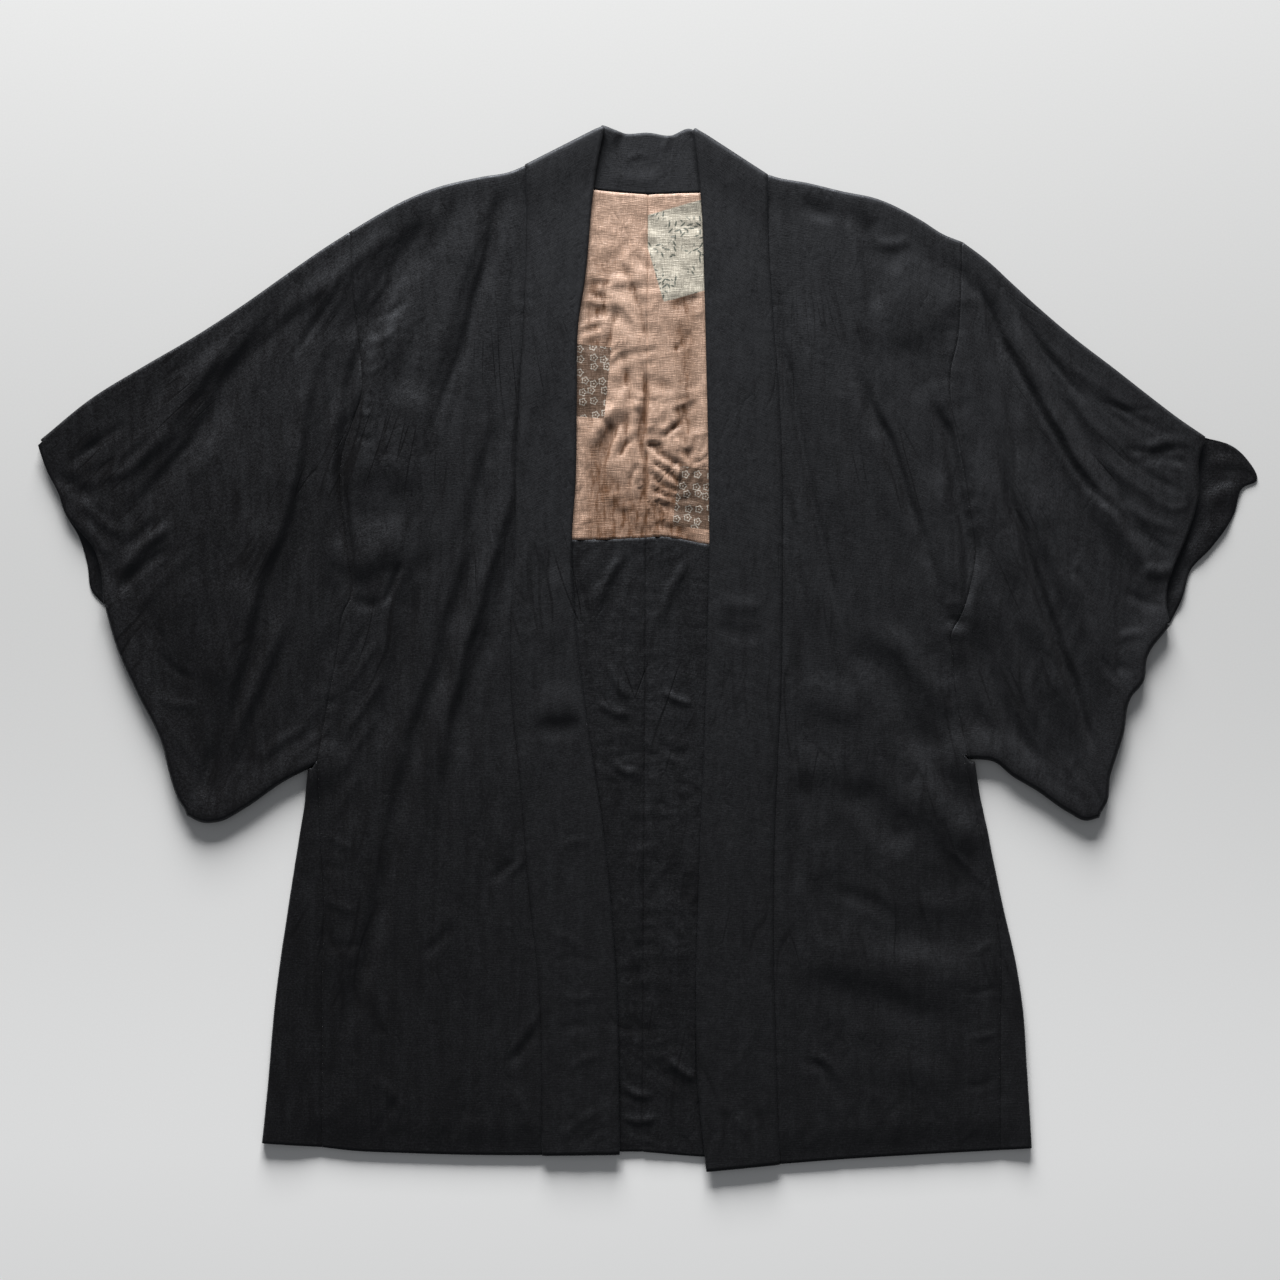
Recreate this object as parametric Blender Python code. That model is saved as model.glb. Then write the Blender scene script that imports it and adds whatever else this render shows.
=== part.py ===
"""Haori jacket, laid out flat with its fronts on top: body, sleeves, gussets, collar, lining and hem facing.

Lengths are in millimetres until a piece is made. x runs towards the right sleeve and y towards the collar, both
from the middle of the laid-out jacket. z is the height above the surface that the jacket lies on.
"""

from collections import namedtuple

import bmesh
import bpy
import numpy as np

MM = 0.001

# Cloth.
CLOTH = 1.5  # wall of the body, sleeves and gussets
BAND = 3.0  # wall of the collar, which is doubled
THIN = 1.0  # wall of the lining and the hem facing
SEAM_GAP = 0.3

# How the upper layer lies on the lower one.
FLAT = CLOTH / 2  # height of the lower layer's middle
REST = 4.3  # height of the upper layer's middle between its folds
LOWEST = 2.7
ROLL = 3.0  # radius of the turned edge along the shoulders and sleeves
EDGE_REACH = 32.0  # how far in from a turned edge the folds reach their full height
INNER_HEIGHT = CLOTH + SEAM_GAP + THIN / 2  # lining and facing, on the back
COLLAR_HEIGHT = 4.9
COLLAR_ROLL = 3.1
COLLAR_REACH = 60.0  # how far down the front the collar comes down from its roll
GUSSET_ROLL = (REST - FLAT) / 2
LOW_ROLL = 4.0  # and along the sleeve's lower edge and end
UNDER_COLLAR = 24.0  # how far the lining and the facing run on under the collar

# How finely each piece is divided.
SEAM_ROWS = 30  # down the armhole seam
GUSSET_ROWS = 21  # down the gusset seam
FRONT_COLUMNS = 15
BACK_ROWS = 8
SLEEVE_COLUMNS = 19
CUFF_ROWS = 14  # of the armhole's rows, those beside the open cuff
BAND_COLUMNS = 3
GUSSET_COLUMNS = 2
LINING_ROWS = 10
FACING_ROWS = 14
TURN_STEPS = 4  # flats round a turned edge
FOLD_STEPS = 10  # straight stretches along a fold

Side = namedtuple(
    "Side",
    "name sign shoulder neck_turn armhole_turn armhole gusset_seam gusset_edge back_side hem back_hem"
    " collar_seam collar_edge sleeve_top cuff_back cuff_front sleeve_end sleeve_bottom folds cuff_folds",
)

# A fold starts, passes by way of a middle point and ends. left and right are its half widths, seen along it, and
# height is above or, if negative, below the cloth round it.
Fold = namedtuple("Fold", "start_x start_y via_x via_y end_x end_y left right height")

HEM_SHARE = 0.16  # of the back's hem, from the centre, that the facing covers

# Where the back meets the back-neck collar, from the left neck point to the right one: x, y.
NECKLINE = ((-121, 480), (-100, 470), (-78, 463), (-55, 459), (-28, 456), (0, 454), (27, 455), (53, 456),
            (76, 460), (98, 466), (118, 470))
CENTRE = len(NECKLINE) // 2
# The outer edge of the back-neck collar beside each point of the neckline: x, y.
NECK_EDGE = ((-44, 519), (-44.6, 519.6), (-45.2, 520.2), (-45.8, 520.8), (-22, 514), (0, 515), (22, 512),
             (44, 518), (44.6, 517.6), (45.2, 517.2), (45.8, 516.8))
CENTRE_SEAM = ((0, 454), (-6, -502))
# Where the lining meets the hem facing, from the centre seam to under each collar: x, y.
FACING_TOP = {
    -1: ((-2.2, 111), (-40, 109.5), (-76, 109), (-104, 108)),
    1: ((-2.2, 111), (8, 112), (62, 104), (86, 101)),
}

LEFT = Side(
    name="left",
    sign=-1,
    # Turned edges and seams, x, y.
    shoulder=((-121, 483), (-138, 476), (-166, 471), (-215, 459), (-250, 444), (-268, 434), (-298, 416)),
    neck_turn=(-0.42, 0.907),
    armhole_turn=(-0.53, 0.848),
    armhole=((-297, 413), (-294, 349), (-288, 299), (-286, 254), (-296, 225), (-305, 199), (-308, 169),
             (-305, 129), (-299, 89), (-298, 49), (-304, 37), (-310, -1), (-323, -71), (-330, -112)),
    gusset_seam=((-330, -124), (-328, -180), (-324, -251), (-326, -330), (-326, -400), (-326, -497)),
    gusset_edge=((-337, -124), (-347, -183), (-358, -253), (-371, -343), (-379, -433), (-385, -493)),
    back_side=((-322, -124), (-370, -493)),
    hem=((-105, -505), (-158, -505), (-240, -503), (-301, -500), (-326, -497)),
    back_hem=((-6, -502), (-120, -501), (-370, -493)),
    collar_seam=((-121, 480), (-121, 407), (-124, 325), (-128, 243), (-132, 162), (-132, 100), (-136, 39),
                 (-136, -41), (-126, -148), (-120, -227), (-108, -346), (-105, -505)),
    collar_edge=((-44, 519), (-50, 490), (-55, 459), (-64, 367), (-70, 329), (-72, 249), (-73, 169), (-77, 109),
                 (-73, 19), (-65, -51), (-45, -188), (-33, -326), (-29, -504)),
    sleeve_top=((-298, 416), (-326, 398), (-362, 373), (-403, 344), (-452, 312), (-505, 281), (-554, 251),
                (-606, 209)),
    cuff_back=((-609, 206), (-600, 179), (-587, 153), (-584, 140), (-568, 111), (-560, 84), (-556, 59),
               (-542, 43)),
    cuff_front=((-609, 206), (-600, 179), (-587, 153), (-582, 137), (-565, 116), (-553, 101), (-546, 80),
                (-542, 43)),
    sleeve_end=((-542, 43), (-530, 2), (-509, -45), (-485, -94), (-477, -126), (-468, -151), (-460, -163)),
    sleeve_bottom=((-330, -115), (-362, -131), (-403, -159), (-428, -172), (-444, -173), (-460, -166)),
    folds=(
        # Sleeve: the groove to the cuff, then the long overlap and the smaller one beside it.
        Fold(-346, 366, -433, 247, -526, 119, 11, 16, -5.0),
        Fold(-322, 380, -405, 300, -530, 190, 30, 26, 5.0),
        Fold(-310, 300, -362, 150, -440, -112, 16, 44, 10.0),
        Fold(-322, 240, -338, 110, -388, -20, 20, 16, -3.0),
        Fold(-372, 60, -392, -40, -414, -116, 12, 18, 5.0),
        Fold(-480, 90, -440, 0, -452, -110, 60, 60, 5.0),
        Fold(-432, -110, -444, -138, -452, -158, 30, 24, 9.0),
        Fold(-560, 200, -500, 245, -440, 290, 16, 16, 3.0),
        Fold(-596, 170, -560, 190, -522, 224, 14, 14, 3.0),
        # Shoulder.
        Fold(-228, 443, -270, 375, -315, 312, 18, 22, -5.0),
        Fold(-250, 425, -300, 380, -340, 320, 20, 24, 5.0),
        # Front: ridges and grooves from the shoulder down to the hem.
        Fold(-138, 462, -172, 345, -229, 136, 18, 18, -3.5),
        Fold(-150, 300, -190, 40, -215, -170, 16, 22, 8.0),
        Fold(-150, 235, -200, 20, -300, -420, 22, 22, -4.0),
        Fold(-210, 400, -245, 250, -262, 120, 46, 46, 6.0),
        Fold(-205, 105, -262, 70, -302, 60, 30, 24, 7.0),
        Fold(-228, 84, -245, 0, -262, -90, 14, 26, 5.0),
        Fold(-262, 60, -290, -30, -312, -110, 20, 22, 4.0),
        Fold(-290, -150, -292, -260, -300, -360, 34, 34, 4.0),
        Fold(-180, -230, -200, -330, -215, -440, 50, 50, 3.5),
        Fold(-140, -150, -160, -230, -190, -300, 34, 34, 3.0),
    ),
    cuff_folds=(),
)

RIGHT = Side(
    name="right",
    sign=1,
    shoulder=((118, 474), (127, 471), (159, 465), (192, 457), (229, 449), (272, 428), (296, 413), (314, 406)),
    neck_turn=(0.42, 0.907),
    armhole_turn=(0.52, 0.854),
    armhole=((313, 403), (312, 349), (309, 309), (302, 277), (302, 249), (308, 217), (314, 187), (319, 159),
             (323, 129), (327, 94), (323, 69), (318, 49), (310, 29), (303, 17), (305, -11), (308, -51),
             (314, -81), (319, -106)),
    gusset_seam=((317, -118), (326, -155), (336, -204), (346, -255), (352, -300), (352, -380), (352, -500)),
    gusset_edge=((324, -118), (333, -155), (343, -204), (355, -261), (367, -314), (374, -359), (378, -420),
                 (383, -498)),
    back_side=((310, -118), (368, -498)),
    hem=((131, -514), (196, -509), (278, -504), (352, -500)),
    back_hem=((-6, -502), (53, -507), (200, -503), (368, -498)),
    collar_seam=((118, 470), (121, 386), (125, 325), (131, 243), (134, 149), (134, 80), (132, -51), (129, -109),
                 (125, -227), (125, -306), (127, -385), (131, -514)),
    collar_edge=((45.8, 516.8), (49, 490), (53, 456), (57, 367), (59, 289), (61, 199), (62, 89), (60, 9),
                 (58, -69), (52, -227), (49, -346), (50, -425), (59, -521)),
    sleeve_top=((314, 406), (338, 388), (363, 365), (387, 343), (427, 309), (465, 280), (502, 251), (531, 229),
                (556, 212)),
    cuff_back=((558, 209), (576, 206), (596, 192), (608, 168), (595, 162), (585, 134), (563, 102), (542, 79),
               (533, 50), (520, 23)),
    cuff_front=((558, 209), (552, 198), (549, 151), (536, 109), (526, 86), (518, 62), (517, 42), (520, 23)),
    sleeve_end=((520, 23), (498, -8), (494, -33), (482, -48), (474, -86), (467, -108), (461, -127),
                (458, -152), (450, -166)),
    sleeve_bottom=((319, -109), (347, -113), (363, -126), (388, -141), (420, -163), (437, -171), (450, -168)),
    folds=(
        # Sleeve: grooves that run from the shoulder to the cuff and the lower corner.
        Fold(338, 362, 352, 290, 372, 222, 12, 14, -4.0),
        Fold(372, 300, 420, 200, 515, 66, 16, 12, -4.5),
        Fold(395, 300, 460, 190, 535, 90, 26, 30, 5.0),
        Fold(352, 210, 395, 60, 452, -112, 14, 11, -5.0),
        Fold(385, 230, 430, 60, 462, -60, 40, 34, 6.0),
        Fold(345, 230, 362, 60, 420, -90, 24, 24, 5.0),
        Fold(326, -10, 334, -60, 352, -96, 22, 20, -3.0),
        Fold(420, -120, 436, -142, 446, -158, 26, 28, 9.0),
        Fold(440, 270, 500, 235, 548, 200, 14, 14, 3.5),
        Fold(500, 205, 530, 180, 545, 150, 16, 18, 4.0),
        # Shoulder bulge and the tuck beside the armhole.
        Fold(225, 400, 275, 360, 300, 300, 40, 44, 8.0),
        Fold(262, 300, 285, 225, 306, 170, 12, 16, -5.0),
        Fold(290, 140, 296, 80, 300, 30, 26, 30, 6.0),
        # Front: grooves from the shoulder, then broad soft dents lower down.
        Fold(196, 440, 225, 270, 278, 74, 14, 18, -4.0),
        Fold(150, 360, 165, 170, 196, 10, 22, 26, 5.0),
        Fold(123, 365, 158, 170, 190, 34, 14, 16, -4.0),
        Fold(190, 30, 235, -20, 290, -100, 26, 30, -3.5),
        Fold(220, 150, 252, 20, 290, -60, 34, 34, 5.0),
        Fold(150, -110, 185, -118, 215, -112, 26, 20, 4.0),
        Fold(214, -150, 250, -190, 330, -205, 30, 34, 5.0),
        Fold(190, -236, 240, -268, 330, -278, 22, 26, -3.0),
        Fold(160, -300, 225, -318, 330, -336, 26, 24, 6.0),
        Fold(150, -400, 200, -430, 260, -450, 50, 50, 3.0),
    ),
    # The lower layer, which shows past the upper one at this cuff.
    cuff_folds=(
        Fold(556, 196, 580, 178, 606, 170, 16, 12, 6.0),
        Fold(545, 92, 572, 122, 596, 158, 10, 12, 5.0),
    ),
)

LINING_FOLDS = (Fold(-18, 300, -40, 235, -52, 165, 14, 18, 3.5),)

COLOURS = {
    "body": (0.021, 0.021, 0.024),
    "sleeve": (0.020, 0.020, 0.023),
    "gusset": (0.018, 0.018, 0.021),
    "collar": (0.023, 0.023, 0.026),
    "lining": (0.56, 0.40, 0.31),
    "facing": (0.019, 0.019, 0.022),
}
ROUGHNESS = {"body": 0.7, "sleeve": 0.7, "gusset": 0.7, "collar": 0.65, "lining": 0.5, "facing": 0.7}


def smooth(share):
    """A soft step from 0 to 1."""
    share = np.clip(share, 0.0, 1.0)
    return share * share * (3.0 - 2.0 * share)


def curve(rows, shares):
    """Points at these shares of the length of the smooth curve through the rows."""
    points = np.array(rows, float)
    lengths = np.linalg.norm(np.diff(points, axis=0), axis=1)
    knots = np.concatenate([[0.0], np.cumsum(lengths)]) / lengths.sum()
    slopes = np.gradient(points, knots, axis=0)
    cell = np.clip(np.searchsorted(knots, shares, side="right") - 1, 0, len(lengths) - 1)
    width = (knots[cell + 1] - knots[cell])[:, None]
    s = (np.asarray(shares) - knots[cell])[:, None] / width
    return (
        (2 * s**3 - 3 * s**2 + 1) * points[cell]
        + (s**3 - 2 * s**2 + s) * width * slopes[cell]
        + (3 * s**2 - 2 * s**3) * points[cell + 1]
        + (s**3 - s**2) * width * slopes[cell + 1]
    )


def evenly(rows, steps):
    """The curve through the rows, at even steps."""
    return curve(rows, np.linspace(0.0, 1.0, steps + 1))


def shares_of(points):
    """Each point's share of the length of the line through them."""
    lengths = np.linalg.norm(np.diff(points, axis=0), axis=1)
    return np.concatenate([[0.0], np.cumsum(lengths)]) / lengths.sum()


def outward(points, within):
    """Unit vectors square to a line, away from a point within the piece."""
    along = np.gradient(points, axis=0)
    across = np.stack([-along[:, 1], along[:, 0]], axis=1)
    across /= np.linalg.norm(across, axis=1)[:, None]
    return across * np.sign((across * (points - within)).sum(axis=1))[:, None]


def patch(top, bottom, inner, outer):
    """Grid of points that fills four edges: rows from top to bottom, columns from inner to outer."""
    v = (shares_of(inner) + shares_of(outer))[:, None, None] / 2
    u = (shares_of(top) + shares_of(bottom))[None, :, None] / 2
    corners = (
        (1 - u) * (1 - v) * top[0] + u * (1 - v) * top[-1] + (1 - u) * v * bottom[0] + u * v * bottom[-1]
    )
    return (1 - v) * top[None] + v * bottom[None] + (1 - u) * inner[:, None] + u * outer[:, None] - corners


def nearest(points, line):
    """For each point: its distance from a line, how far along it lies, and +1 on its left or -1 on its right."""
    start, step = line[:-1], np.diff(line, axis=0)
    away = points[..., None, :] - start
    share = np.clip((away * step).sum(-1) / (step**2).sum(-1), 0.0, 1.0)
    distance = np.linalg.norm(away - share[..., None] * step, axis=-1)
    best = distance.argmin(-1)[..., None]
    along = (np.take_along_axis(share, best, -1)[..., 0] + best[..., 0]) / len(step)
    turn = step[:, 0] * away[..., 1] - step[:, 1] * away[..., 0]
    hand = np.sign(np.take_along_axis(turn, best, -1)[..., 0])
    return np.take_along_axis(distance, best, -1)[..., 0], along, hand


def relief(points, folds):
    """Height that the folds add at each point."""
    share = np.linspace(0.0, 1.0, FOLD_STEPS + 1)[:, None]
    total = np.zeros(points.shape[:-1])
    for fold in folds:
        start, via, end = np.array(fold[:6], float).reshape(3, 2)
        handle = 2 * via - (start + end) / 2
        line = (1 - share) ** 2 * start + 2 * share * (1 - share) * handle + share**2 * end
        distance, along, hand = nearest(points, line)
        across = np.clip(distance / np.where(hand > 0, fold.left, fold.right), 0.0, 1.0)
        total += fold.height * (1 - across**2) ** 2 * smooth(along / 0.3) * smooth((1 - along) / 0.3)
    return total


def upper(points, side):
    """Height of the middle of the upper layer, which turns down to a roll along the shoulder and sleeve."""
    height = REST + relief(points, side.folds)
    edges = (side.shoulder, side.sleeve_top, side.sleeve_bottom, side.sleeve_end)
    for edge, roll in zip(edges, (ROLL, ROLL, LOW_ROLL, LOW_ROLL)):
        distance = nearest(points, np.array(edge, float))[0]
        rolled = FLAT + 2 * roll
        height = rolled + (height - rolled) * smooth((distance - roll) / EDGE_REACH)
    return np.maximum(height, LOWEST)


def moved(points, sideways=0.0, up=0.0):
    """The points, moved half a seam gap in the plane."""
    return np.array(points, float) + np.array([sideways, up]) * SEAM_GAP / 2


def front_edge(side):
    """The front's long outer edge: down the armhole seam, then down the gusset seam."""
    return np.concatenate([evenly(side.armhole, SEAM_ROWS), evenly(side.gusset_seam, GUSSET_ROWS)])


def under_collar(side, heights):
    """Points at these places up the jacket, a little way in under the collar's free edge."""
    edge = np.array(side.collar_edge, float)[::-1]
    across = np.interp(heights, edge[:, 1], edge[:, 0]) + side.sign * UNDER_COLLAR
    return np.stack([across, heights], axis=1)


class Sheet:
    """A cloth's middle surface, with the way its outer side faces at each point."""

    def __init__(self):
        self.middle = []
        self.ways = []
        self.faces = []

    def add(self, places, ways):
        """Adds points and returns their numbers."""
        first = len(self.middle)
        self.middle += [tuple(place) for place in places]
        self.ways += [tuple(way) for way in ways]
        return np.arange(first, len(self.middle))

    def join(self, numbers):
        """Fills a grid of point numbers with triangles."""
        for one, two in zip(numbers[:-1], numbers[1:]):
            for a, b, c, d in zip(one[:-1], one[1:], two[1:], two[:-1]):
                self.faces += [(a, b, c), (a, c, d)]

    def layer(self, points, height, way):
        """Adds a grid of points at this height, its outer side up (1) or down (-1), and returns their numbers."""
        height = np.broadcast_to(height, points.shape[:-1])
        places = np.concatenate([points, height[..., None]], axis=-1).reshape(-1, 3)
        numbers = self.add(places, np.tile((0.0, 0.0, way), (len(places), 1))).reshape(points.shape[:-1])
        self.join(numbers)
        return numbers

    def turn(self, over, under, out):
        """Rolls the cloth round from the points over to those under, bulging out to the side."""
        top = np.array([self.middle[number] for number in over])
        low = np.array([self.middle[number] for number in under])
        radius = (top[:, 2] - low[:, 2])[:, None] / 2
        level = np.concatenate([out, np.zeros((len(out), 1))], axis=1)
        rows = [over]
        for step in range(1, TURN_STEPS):
            angle = np.pi / 2 - np.pi * step / TURN_STEPS
            ways = np.cos(angle) * level + np.sin(angle) * np.array([0.0, 0.0, 1.0])
            rows.append(self.add((top + low) / 2 + radius * ways, ways))
        rows.append(under)
        self.join(np.array(rows))

    def rim(self):
        """The edges that only one triangle has."""
        uses = {}
        for a, b, c in self.faces:
            for pair in ((a, b), (b, c), (c, a)):
                key = tuple(sorted(pair))
                uses[key] = uses.get(key, 0) + 1
        return [pair for pair, count in uses.items() if count == 1]

    def build(self, name, wall, kind):
        """Makes the closed wall: both sides of the sheet and the rim between them."""
        middle, half = np.array(self.middle), np.array(self.ways) * wall / 2
        shape = bmesh.new()
        outside = [shape.verts.new(place) for place in (middle + half) * MM]
        inside = [shape.verts.new(place) for place in (middle - half) * MM]
        for a, b, c in self.faces:
            shape.faces.new((outside[a], outside[b], outside[c]))
            shape.faces.new((inside[c], inside[b], inside[a]))
        for a, b in self.rim():
            shape.faces.new((outside[a], outside[b], inside[b], inside[a]))
        bmesh.ops.recalc_face_normals(shape, faces=shape.faces)
        mesh = bpy.data.meshes.new(name)
        shape.to_mesh(mesh)
        shape.free()
        mesh.materials.append(material(name, kind))
        bpy.context.scene.collection.objects.link(bpy.data.objects.new(name, mesh))


def material(name, kind):
    """The piece's own plain finish."""
    finish = bpy.data.materials.new(name)
    finish.use_nodes = True
    surface = finish.node_tree.nodes["Principled BSDF"]
    surface.inputs["Base Color"].default_value = (*COLOURS[kind], 1.0)
    surface.inputs["Roughness"].default_value = ROUGHNESS[kind]
    surface.inputs["Metallic"].default_value = 0.0
    return finish


def body(side):
    """Back, shoulder fold and front in one length of cloth."""
    sheet = Sheet()
    outer = moved(front_edge(side), -side.sign)
    inner = moved(curve(side.collar_seam, shares_of(outer)), side.sign)
    shoulder = evenly(side.shoulder, FRONT_COLUMNS)
    out = outward(shoulder, np.array(side.armhole[3], float))
    out[0], out[-1] = side.neck_turn, side.armhole_turn
    shoulder -= out * ROLL
    shoulder[0], shoulder[-1] = inner[0], outer[0]
    hem = evenly(side.hem, FRONT_COLUMNS)
    hem[0], hem[-1] = inner[-1], outer[-1]
    front = patch(shoulder, hem, inner, outer)
    over = sheet.layer(front, upper(front, side), 1)

    neck = moved(NECKLINE[CENTRE::side.sign], side.sign, -1)[:-1]
    top = np.concatenate([neck, shoulder])
    centre = moved(np.linspace(*np.array(CENTRE_SEAM, float), BACK_ROWS + 1), side.sign)
    armhole = np.linspace(side.armhole[0], side.armhole[-1], BACK_ROWS // 2 + 1)
    below = np.linspace(*np.array(side.back_side, float), BACK_ROWS - BACK_ROWS // 2)
    back_edge = moved(np.concatenate([armhole, below]), -side.sign)
    hem = evenly(side.back_hem, len(top) - 1)
    centre[0], back_edge[0] = top[0], top[-1]
    hem[0], hem[-1] = centre[-1], back_edge[-1]
    under = sheet.layer(patch(top, hem, centre, back_edge), FLAT, -1)
    sheet.turn(over[0], under[0, len(neck):], out)
    sheet.build("body_" + side.name, CLOTH, "body")


def sleeve(side):
    """Flattened tube: folded along the top, closed along the bottom and below the cuff, open at both ends."""
    sheet = Sheet()
    middle = np.array([(side.armhole[0][0] + side.cuff_back[0][0]) / 2, side.cuff_back[-1][1]])
    top = evenly(side.sleeve_top, SLEEVE_COLUMNS)
    top_out = outward(top, middle)
    top_out[0] = side.armhole_turn
    top -= top_out * ROLL
    bottom = evenly(side.sleeve_bottom, SLEEVE_COLUMNS)
    end = evenly(side.sleeve_end, SEAM_ROWS - CUFF_ROWS)
    end_out = outward(end, middle)
    bottom_out = outward(bottom, middle)
    bottom_out[0] = (0.0, -1.0)
    corner = end_out[-1] + bottom_out[-1]
    end_out[-1] = bottom_out[-1] = corner / np.linalg.norm(corner)
    bottom -= bottom_out * LOW_ROLL
    end -= end_out * LOW_ROLL
    end[-1] = bottom[-1]

    layers = []
    for cuff, seam in ((side.cuff_front, side.armhole), (side.cuff_back, (side.armhole[0], side.armhole[-1]))):
        inner = moved(evenly(seam, SEAM_ROWS), side.sign)
        outer = np.concatenate([evenly(cuff, CUFF_ROWS)[:-1], end])
        top[0], bottom[0], outer[0] = inner[0], inner[-1], top[-1]
        layers.append(patch(top, bottom, inner, outer))
    back_height = FLAT + relief(layers[1], side.cuff_folds)
    front_height = np.maximum(upper(layers[0], side), back_height + CLOTH + SEAM_GAP)
    over = sheet.layer(layers[0], front_height, 1)
    under = sheet.layer(layers[1], back_height, -1)
    sheet.turn(over[0], under[0], top_out)
    closed = (np.concatenate([rows[CUFF_ROWS:, -1], rows[-1, -2::-1]]) for rows in (over, under))
    sheet.turn(*closed, np.concatenate([end_out, bottom_out[-2::-1]]))
    sheet.build("sleeve_" + side.name, CLOTH, "sleeve")


def gusset(side):
    """Wedge between front and back: from the front's seam out to the side edge, over it and back to the back."""
    sheet = Sheet()
    seam = moved(evenly(side.gusset_seam, GUSSET_ROWS), side.sign)
    edge = evenly(side.gusset_edge, GUSSET_ROWS)
    out = outward(edge, np.array((0.0, side.gusset_edge[0][1])))
    edge -= out * GUSSET_ROLL
    back = moved(np.linspace(*np.array(side.back_side, float), GUSSET_ROWS + 1), side.sign)
    share = np.linspace(0.0, 1.0, GUSSET_COLUMNS + 1)[None, :, None]
    front = seam[:, None] + share * (edge - seam)[:, None]
    over = sheet.layer(front, upper(front, side), 1)
    under = sheet.layer(np.stack([back, edge], axis=1), FLAT, -1)
    sheet.turn(over[:, -1], under[:, -1], out)
    sheet.build("gusset_" + side.name, CLOTH, "gusset")


def collar():
    """Doubled band: up the left front, over at the shoulder, round the back neck and down the right front."""
    sheet = Sheet()
    share = np.linspace(0.0, 1.0, BAND_COLUMNS + 1)[None, :, None]
    neck_seam = moved(NECKLINE, up=1)
    neck_edge = np.array(NECK_EDGE, float)
    fronts = []
    for side, last in ((LEFT, 0), (RIGHT, -1)):
        shares = shares_of(front_edge(side))
        seam = moved(curve(side.collar_seam, shares), -side.sign)
        edge = curve(side.collar_edge, shares)
        neck_seam[last], edge[0] = seam[0], neck_edge[last]
        front = seam[:, None] + share * (edge - seam)[:, None]
        turned = np.linalg.norm(front - front[:1], axis=-1) / COLLAR_REACH
        lying = np.maximum(COLLAR_HEIGHT + relief(front, side.folds), COLLAR_HEIGHT)
        height = BAND / 2 + 2 * COLLAR_ROLL
        fronts.append(sheet.layer(front, height + (lying - height) * smooth(turned), 1))
    neck = neck_seam[:, None] + share * (neck_edge - neck_seam)[:, None]
    under = sheet.layer(neck, BAND / 2, -1)
    for side, over, last in ((LEFT, fronts[0], 0), (RIGHT, fronts[1], -1)):
        line = neck_edge[last] - neck_seam[last]
        square = np.array([-line[1], line[0]]) * -side.sign / np.linalg.norm(line)
        sheet.turn(over[0], under[last], np.array(side.neck_turn) * (1 - share[0]) + square * share[0])
    sheet.build("collar", BAND, "collar")


def inside(side):
    """The lining and the hem facing, on the back as far as they show and a little under the collar."""
    top = moved(NECKLINE[CENTRE::side.sign][:4], side.sign, -2)
    join = np.array(FACING_TOP[side.sign], float)
    hem = curve(side.back_hem, np.linspace(0.0, HEM_SHARE, len(join)))
    for kind, first, last, rows in (("lining", top, join, LINING_ROWS), ("facing", join, hem, FACING_ROWS)):
        first, last = moved(first, side.sign, -1), moved(last, side.sign, 1)
        centre = np.linspace(first[0], last[0], rows + 1)
        outer = under_collar(side, np.linspace(first[-1, 1], last[-1, 1], rows + 1))
        first[-1], last[-1] = outer[0], outer[-1]
        points = patch(first, last, centre, outer)
        sheet = Sheet()
        sheet.layer(points, INNER_HEIGHT + relief(points, LINING_FOLDS), 1)
        sheet.build(kind + "_" + side.name, THIN, kind)


def main():
    """Builds every piece of the jacket."""
    for thing in list(bpy.data.objects):
        bpy.data.objects.remove(thing)
    for side in (LEFT, RIGHT):
        body(side)
        sleeve(side)
        gusset(side)
        inside(side)
    collar()


main()
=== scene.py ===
"""Scene of a black silk haori jacket, laid out flat with its fronts on top.

Lengths are in millimetres until a mesh is made. From the middle of the laid-out jacket, x runs towards the
right sleeve and y towards the collar. z is the height above the surface that it lies on.
"""

import logging
import math
from collections.abc import Callable, Sequence
from dataclasses import dataclass, field
from enum import Enum

import bpy
import numpy as np
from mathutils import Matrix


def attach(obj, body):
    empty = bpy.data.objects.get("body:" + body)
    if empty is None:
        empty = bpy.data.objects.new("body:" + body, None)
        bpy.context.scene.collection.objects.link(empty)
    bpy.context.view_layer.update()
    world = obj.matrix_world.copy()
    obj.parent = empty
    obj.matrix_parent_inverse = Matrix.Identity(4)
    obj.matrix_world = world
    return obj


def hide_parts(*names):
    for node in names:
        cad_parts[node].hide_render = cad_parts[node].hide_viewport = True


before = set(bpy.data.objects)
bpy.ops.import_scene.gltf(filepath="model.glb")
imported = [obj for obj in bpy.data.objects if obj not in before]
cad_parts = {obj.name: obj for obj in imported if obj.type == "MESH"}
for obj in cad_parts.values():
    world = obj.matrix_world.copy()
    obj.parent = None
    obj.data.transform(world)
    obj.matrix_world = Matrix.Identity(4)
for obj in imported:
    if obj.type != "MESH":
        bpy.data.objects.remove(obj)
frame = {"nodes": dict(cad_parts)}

log = logging.getLogger("haori")
MM = 0.001  # metres in a millimetre
UV_NAME = "cloth"

Array = np.ndarray
Line = tuple[tuple[float, float], ...]
Colour = tuple[float, float, float]
Socket = bpy.types.NodeSocket


# ---------------------------------------------------------------- lines and surfaces


def smooth(share: Array) -> Array:
    """A soft step from 0 to 1."""
    share = np.clip(share, 0.0, 1.0)
    return share * share * (3.0 - 2.0 * share)


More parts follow.
